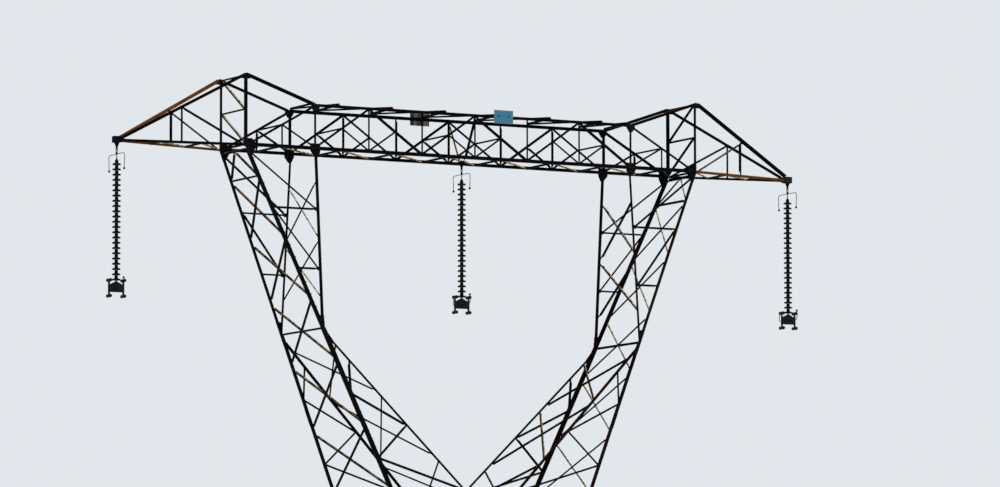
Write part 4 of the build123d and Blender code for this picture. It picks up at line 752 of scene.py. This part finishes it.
# A pair of bolts at every panel point: the levels of the points, and how far each bolt is from its point
OUTER_LEVELS = (2, 4, 8, 10, 11.7)
INNER_LEVELS = (2, 4, 7, 9, 11)
SIDE_LEVELS = (1, 3, 5, 7, 9, 11)
CROSSING_LEVELS = (2, 4, 6, 8, 10)
OUTER_SHIFTS = (-0.035, 0.035)
INNER_SHIFTS = (-0.03, 0.03)
SIDE_SHIFTS = (-0.1, 0.1)
BODY_SHIFTS = (-0.05, 0.05)
BELT_MIDDLES = ((UPPER_BELT_Z + WAIST_Z) / 2, (UPPER_BELT_Z + LOWER_BELT_Z) / 2)
BODY_LEVELS_Z = (UPPER_BELT_Z, LOWER_BELT_Z, *BELT_MIDDLES, 3.9, 2.4, 0.9)
HALF_BRIDGE_POINTS = BRIDGE_PANELS // 2 + 1
PANEL_BOLT = 0.026

panels = []
for level in OUTER_LEVELS:
    for shift in OUTER_SHIFTS:
        z = outer_level(level) + shift
        panels.append(face_spot(-outer_x(z) + GAUGE, z))
for level in INNER_LEVELS:
    for shift in INNER_SHIFTS:
        z = inner_level(level) + shift
        inset = INNER_GAUGE if level < KNEE_LEVEL else INNER_GAUGE * math.hypot(1, LOWER_SLOPE)
        panels.append(face_spot(-inner_x(z) - inset, z, -LAP))
for level in SIDE_LEVELS:
    for shift in SIDE_SHIFTS:
        panels.append(side_spot(outer_level(level + shift), FORK_NORMAL))
for z in BODY_LEVELS_Z:
    for shift in BODY_SHIFTS:
        panels.append(face_spot(-outer_x(z + shift) + GAUGE, z + shift))
        panels.append(side_spot(z + shift, BODY_NORMAL))
for k in range(HALF_BRIDGE_POINTS):
    for shift in BODY_SHIFTS:
        x = -INNER_X + k * PANEL + shift
        panels.append(bridge_spot(x, BRIDGE_Z + GAUGE))
        panels.append(bridge_spot(x, TOP_Z - GAUGE))
bolts("panel_bolts", mirrored(panels), "tower", width=PANEL_BOLT)

# One bolt where two braces cross. On a fork's side it is set in twice by this, level and square to the side.
CROSSING_INSET = 0.014
crossings = []
for level in CROSSING_LEVELS:
    z = outer_level(level)
    spot = Vector((-outer_x(z) + CROSSING_INSET, 0.0, z)) - FORK_NORMAL * CROSSING_INSET
    crossings.append((spot, FORK_NORMAL))
for z in BELT_MIDDLES:
    crossings.append((Vector((-outer_x(z) + LAP, 0.0, z)), BODY_NORMAL))
across = []
for point, out in crossings:
    across.append((Vector((-point[0], point[1], point[2])), Vector((-out[0], out[1], out[2]))))
bolts("crossing_bolts", crossings + across, "tower", width=PANEL_BOLT)

# Bolts of the bridge's level lacing, with their heads under the flat legs of the chords
ARM_POINTS = 3
under = []
for k in range(BRIDGE_PANELS):
    x = -INNER_X + (k + 0.5) * PANEL
    under.append((Vector((x, -BRIDGE_HALF_DEPTH + GAUGE, BRIDGE_Z)), DOWN))
for x in run_of(OUTER_X, (TIP_X - OUTER_X) / ARM_POINTS, ARM_POINTS):
    inward = (BRIDGE_HALF_DEPTH - TIP_HALF_DEPTH) * (x - OUTER_X) / (TIP_X - OUTER_X)
    y = -BRIDGE_HALF_DEPTH + inward + GAUGE
    under += [(Vector((side * x, y, BRIDGE_Z)), DOWN) for side in (-1, 1)]
rear = [(Vector((point[0], -point[1], point[2])), out) for point, out in under]
bolts("lacing_bolts", under + rear, "tower", width=0.024, grip=0.013)

# Anchor bolts through the shoes
ANCHOR_SHIFTS = (-0.15, 0.15)
anchors = []
for dx in ANCHOR_SHIFTS:
    for dy in ANCHOR_SHIFTS:
        anchors.append((Vector((-outer_x(0) + dx, -half_depth(0) + dy, SHOE_TOP_Z)), UP))
bolts("anchor_bolts", mirrored(anchors), "tower", width=0.046, grip=0.03, thread=0.02)

# Bolts of the arm tips and of the blank plates
TIP_ROW = (-0.095, 0.055, 6)
TIP_RISES = (0.035, 0.135)
SIGN_SHIFTS = (-0.19, 0.19)
SIGN_FACE = BRIDGE_HALF_DEPTH + 0.003
SIGN_BOLT_RISE = 0.02
small = []
for along in run_of(*TIP_ROW):
    for rise in TIP_RISES:
        y = -TIP_HALF_DEPTH - along * ARM_LEAN - GUSSET
        out = Vector((-ARM_LEAN, -1, 0)).normalized()
        small.append((Vector((-TIP_X + along, y, BRIDGE_Z + rise)), out))
bolts("tip_bolts", mirrored(small), "tower", width=0.026, grip=0.018)
plates = []
for side in (-1, 1):
    for dx in SIGN_SHIFTS:
        spot = Vector((-side * SIGN_X + dx, side * SIGN_FACE, SIGN_Z + SIGN_BOLT_RISE))
        plates.append((spot, Vector((0, side, 0))))
bolts("sign_bolts", plates, "tower", width=0.036, grip=0.011, slot="plate_paint")

# Step bolts up the front left leg and chord
STEP_INSET = 0.07
CLIMB_HEIGHTS = (3.0, WAIST_Z, BRIDGE_Z - 0.4)
steps = bpy.data.meshes.new("climbing_line")
climb_line = [Vector((-outer_x(z) + STEP_INSET, -half_depth(z), z)) for z in CLIMB_HEIGHTS]
steps.from_pydata(climb_line, [(0, 1), (1, 2)], [])
step_sizes = {"Spacing": 0.43, "Length": 0.10, "Rod Width": 0.018, "Head Width": 0.032}
step_sizes["Outward"] = (0.0, -1.0, 0.0)
climb = grown("step_bolts", steps, step_tree(BOLT_STEEL), step_sizes, BOLT_STEEL)
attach(climb, "tower")

# Splice plates of the corner angles: their heights, their edges from the corner, and their bolts' places
SPLICES = ((9.9, 10.5), (1.3, 1.9), (KNEE_Z - 2.9, KNEE_Z - 2.4))
SPLICE_NEAR = 0.004
SPLICE_FAR = 0.112
SPLICE_THICKNESS = 0.010
SPLICE_END = 0.06
SPLICE_INSET = 0.058
SPLICE_BOLTS = 6


def leg_cover(shape, low, high, on_front):
    """A splice plate on one leg of a corner angle, between two heights, in all four quarters."""
    for sx, sy in SIDES:
        ring = []
        for z, reach in ((low, SPLICE_NEAR), (low, SPLICE_FAR), (high, SPLICE_FAR), (high, SPLICE_NEAR)):
            if on_front:
                ring.append((sx * (outer_x(z) - reach), sy * half_depth(z), z))
            else:
                ring.append((sx * outer_x(z), sy * (half_depth(z) - reach), z))
        lean = FACE_SLOPE if on_front else (outer_x(low) - outer_x(high)) / (high - low)
        out = Vector((0, sy, lean)) if on_front else Vector((sx, 0, lean))
        slab(shape, ring, out.normalized() * SPLICE_THICKNESS)


covers = bmesh.new()
cover_spots = []
for low, high in SPLICES:
    for on_front in (True, False):
        leg_cover(covers, low, high, on_front)
    normal = FORK_NORMAL if low > WAIST_Z else BODY_NORMAL
    for z in run_of(low + SPLICE_END, (high - low - 2 * SPLICE_END) / (SPLICE_BOLTS - 1), SPLICE_BOLTS):
        cover_spots.append(face_spot(-outer_x(z) + SPLICE_INSET, z, GUSSET))
        point, out = side_spot(z, normal, SPLICE_INSET)
        cover_spots.append((point + out * GUSSET, out))
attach(from_bmesh("leg_splices", covers, CHORD_STEEL, 30), "tower")
bolts("splice_bolts", mirrored(cover_spots), "tower", width=0.028, grip=0.024)

# Mortar beds and stiffening ribs of the shoes. A rib's inset and lap are from the leg's corner.
BED_CORNERS = ((-1, -1), (1, -1), (1, 1), (-1, 1))
BED_HALF = 0.25
BED_SINK = 0.005
BED_THICKNESS = 0.018
BED_BEVEL = 0.006
RIB = 0.16
RIB_THICKNESS = 0.010
RIB_INSET = 0.07
RIB_TOP = 0.02
RIB_LAP = 0.004
beds = bmesh.new()
ribs = bmesh.new()
for sx, sy in SIDES:
    x, y = sx * outer_x(0), sy * half_depth(0)
    low = PIER_TOP_Z - BED_SINK
    base = [(x + dx * BED_HALF, y + dy * BED_HALF, low) for dx, dy in BED_CORNERS]
    slab(beds, base, (0, 0, BED_THICKNESS))
    corner = Vector((sx * outer_x(SHOE_TOP_Z), sy * half_depth(SHOE_TOP_Z), SHOE_TOP_Z))
    for out, along in ((Vector((sx, 0, 0)), Vector((0, -sy, 0))), (Vector((0, sy, 0)), Vector((-sx, 0, 0)))):
        foot = corner + along * RIB_INSET
        ring = [foot - out * RIB_LAP, foot + out * RIB, foot - out * RIB_TOP + UP * RIB]
        slab(ribs, ring, along * RIB_THICKNESS)
bmesh.ops.bevel(beds, geom=beds.edges[:], offset=BED_BEVEL, segments=2, affect="EDGES")
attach(from_bmesh("mortar_beds", beds, MORTAR, 40), "tower")
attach(from_bmesh("shoe_ribs", ribs, CHORD_STEEL, 30), "tower")

# Profile of a disc shell as (height, radius): over the top to the rim, and back under the ribs
SHELL_FACETS = 32
SHELL_CREASE = 50
SHELL = [
    (0.032, 0.0128), (0.032, 0.062), (0.031, 0.084), (0.028, 0.106), (0.022, 0.124),
    (0.012, 0.135), (0.000, 0.140), (-0.014, 0.1395), (-0.030, 0.136), (-0.028, 0.129),
    (0.000, 0.1125), (-0.026, 0.1075), (-0.026, 0.1005), (0.001, 0.095), (0.003, 0.081),
    (-0.026, 0.0755), (-0.026, 0.069), (0.002, 0.065), (0.003, 0.059), (-0.032, 0.052),
    (-0.032, 0.0128),
]
STACK_TREE = stack_tree(PORCELAIN)
for where, x in STRINGS.items():
    shell = bmesh.new()
    lathe(shell, rounded(SHELL), (0, 0, 0), (0, 0, 1), SHELL_FACETS)
    bmesh.ops.recalc_face_normals(shell, faces=shell.faces)
    one = bpy.data.meshes.new("one_shell")
    shell.to_mesh(one)
    shell.free()
    stack = {"Count": DISC_COUNT, "Pitch": DISC_PITCH, "Turn Seed": 3}
    discs = grown(f"disc_shells_{where}", one, STACK_TREE, stack, PORCELAIN)
    discs.data.transform(Matrix.Translation((x, 0, FIRST_RIM_Z)))
    discs.data.polygons.foreach_set("use_smooth", [True] * len(discs.data.polygons))
    discs.data.set_sharp_from_angle(angle=math.radians(SHELL_CREASE))
    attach(discs, f"string_{where}")
    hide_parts(f"string_discs_{where}")

# Fittings round the clamps' sleeves. Mouth and band are profiles as (distance along the sleeve, radius).
CLAMP_HALF = 0.11
CLAMP_RADIUS = 0.05
CLAMP_FACETS = 20
MOUTH_LAP = 0.002
BAND_Y = 0.062
MOUTH = [
    (-0.012, 0.046), (-0.012, 0.052), (0.0, 0.058), (0.010, 0.056), (0.010, 0.017), (0.004, 0.0155),
    (-0.012, 0.0155),
]
BAND = [(-0.011, 0.046), (-0.011, 0.0535), (-0.008, 0.0555), (0.008, 0.0555), (0.011, 0.0535), (0.011, 0.046)]

# A lug of a band: its lap on the sleeve, its reach, half its length, and half its thickness at both ends
LUG_LAP = 0.003
LUG_REACH = 0.022
LUG_HALF = 0.011
LUG_ROOT = 0.014
LUG_END = 0.010

# Nuts: how far the lug nuts are from the sleeve and above its axis, and the faces of the yoke and the links
LUG_NUT_OUT = 0.013
LUG_NUT_RISE = 0.012
YOKE_FACE = 0.0193
LINK_FACE = 0.0213
CLAMP_NUT = {"width": 0.020, "grip": 0.024, "thread": 0.006, "slot": "fitting_steel"}
EYE_NUT = {"width": 0.030, "grip": 0.0426, "thread": 0.006, "slot": "fitting_steel"}


def one_clamp():
    """What is round one clamp's sleeve: a mouth at each end, two bands and a lug on each band."""
    shape = bmesh.new()
    for side in (-1, 1):
        mouth = [(CLAMP_HALF - MOUTH_LAP + d, r) for d, r in MOUTH]
        lathe(shape, mouth, (0, 0, 0), (0, side, 0), CLAMP_FACETS)
        lathe(shape, [(BAND_Y + d, r) for d, r in BAND], (0, 0, 0), (0, side, 0), CLAMP_FACETS)
        for way in (-1, 1):
            root, end = way * (CLAMP_RADIUS - LUG_LAP), way * (CLAMP_RADIUS + LUG_REACH)
            low, high = side * BAND_Y - LUG_HALF, side * BAND_Y + LUG_HALF
            ring = [(root, low, -LUG_ROOT), (end, low, -LUG_END), (end, low, LUG_END), (root, low, LUG_ROOT)]
            slab(shape, ring, (0, high - low, 0))
    bmesh.ops.recalc_face_normals(shape, faces=shape.faces)
    mesh = bpy.data.meshes.new("one_clamp")
    shape.to_mesh(mesh)
    shape.free()
    return mesh


def square_tree(material):
    """The piece it is given, at the four corners of an upright square."""
    tree, given = new_tree("square_of_four", {"Side": "NodeSocketFloat"})
    side = given["Side"]
    corners = {"Size X": side, "Size Y": side, "Vertices X": 2, "Vertices Y": 2}
    grid = wire(tree, "GeometryNodeMeshGrid", corners).outputs[0]
    stand = {"Geometry": grid, "Rotation": (math.pi / 2, 0.0, 0.0)}
    upright = wire(tree, "GeometryNodeTransform", stand).outputs[0]
    put = {"Points": upright, "Instance": given["Geometry"]}
    close_tree(tree, wire(tree, "GeometryNodeInstanceOnPoints", put).outputs[0], material)
    return tree


SQUARE_TREE = square_tree(FITTING_STEEL)
for where, x in STRINGS.items():
    bundle = grown(f"clamp_bands_{where}", one_clamp(), SQUARE_TREE, {"Side": 2 * BUNDLE_HALF}, FITTING_STEEL)
    bundle.data.transform(Matrix.Translation((x, 0, (UPPER_CLAMP_Z + LOWER_CLAMP_Z) / 2)))
    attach(bundle, f"string_{where}")
    nuts = []
    for dx in (-BUNDLE_HALF, BUNDLE_HALF):
        for z in YOKE_BOLTS_Z:
            nuts.append((Vector((x + dx, -YOKE_FACE, z)), FRONT))
        for z in (UPPER_CLAMP_Z, LOWER_CLAMP_Z):
            for y in (-BAND_Y, BAND_Y):
                for way in (-1, 1):
                    out = way * (CLAMP_RADIUS + LUG_NUT_OUT)
                    nuts.append((Vector((x + dx + out, y, z + LUG_NUT_RISE)), UP))
    bolts(f"clamp_nuts_{where}", nuts, f"string_{where}", **CLAMP_NUT)
    eyes = [(Vector((x, -YOKE_FACE, YOKE_NECK_Z)), FRONT)]
    eyes.append((Vector((x - LINK_FACE, 0, LOWER_PIN_Z)), Vector((-1, 0, 0))))
    bolts(f"eye_nuts_{where}", eyes, f"string_{where}", **EYE_NUT)
    hinge = [(Vector((x, -LINK_FACE, PIN_Z)), FRONT)]
    bolts(f"pin_nuts_{where}", hinge, f"link_{where}", **EYE_NUT)

# Floor, light and camera
FLOOR_RADIUS = 900.0
floor_shape = bmesh.new()
bmesh.ops.create_circle(floor_shape, cap_ends=True, segments=96, radius=FLOOR_RADIUS)
floor = from_bmesh("floor", floor_shape, pale_floor("floor_paint", (0.80, 0.81, 0.82)))

world = bpy.data.worlds.new("studio")
bpy.context.scene.world = world
world.use_nodes = True
sky = world.node_tree
sky.nodes.clear()
rays = sky.nodes.new("ShaderNodeLightPath").outputs
seen = math_of(sky, "MAXIMUM", rays["Is Camera Ray"], rays["Is Glossy Ray"])
seen = math_of(sky, "MAXIMUM", seen, rays["Is Transmission Ray"])
light = wire(sky, "ShaderNodeBackground", {"Color": (1.0, 1.0, 1.0, 1), "Strength": 0.62})
backdrop = wire(sky, "ShaderNodeBackground", {"Color": (0.76, 0.80, 0.84, 1), "Strength": 1.0})
both = wire(sky, "ShaderNodeMixShader", {0: seen, 1: light.outputs[0], 2: backdrop.outputs[0]})
wire(sky, "ShaderNodeOutputWorld", {"Surface": both.outputs[0]})


def sun(name, toward, strength, spread):
    """A soft distant lamp that shines from a direction."""
    lamp = bpy.data.lights.new(name, "SUN")
    lamp.energy = strength
    lamp.angle = math.radians(spread)
    holder = bpy.data.objects.new(name, lamp)
    holder.rotation_euler = Vector(toward).to_track_quat("Z", "Y").to_euler()
    bpy.context.scene.collection.objects.link(holder)


sun("key_light", SUN_SIDE, 2.3, 12.0)
sun("fill_light", (-0.5, -0.8, 0.35), 0.25, 40.0)

# The photograph's camera: far off, near the ground, with a long lens
YAW, PITCH, ROLL = (math.radians(angle) for angle in (28.931, 5.772, -0.098))
CAMERA_PLACE = (-102.13, -187.40, 1.51)
view = bpy.data.cameras.new("view")
view.lens = 232.74
view.sensor_width = 36.0
view.clip_start = 1.0
view.clip_end = 3000.0
forward = Vector((math.sin(YAW) * math.cos(PITCH), math.cos(YAW) * math.cos(PITCH), math.sin(PITCH)))
level = Vector((math.cos(YAW), -math.sin(YAW), 0.0))
upward = level.cross(forward)
right = level * math.cos(ROLL) + upward * math.sin(ROLL)
top = upward * math.cos(ROLL) - level * math.sin(ROLL)
camera = bpy.data.objects.new("view", view)
turned = Matrix((right, top, -forward)).transposed().to_4x4()
camera.matrix_world = Matrix.Translation(CAMERA_PLACE) @ turned
bpy.context.scene.collection.objects.link(camera)
bpy.context.scene.camera = camera
bpy.context.scene.view_settings.view_transform = "Standard"
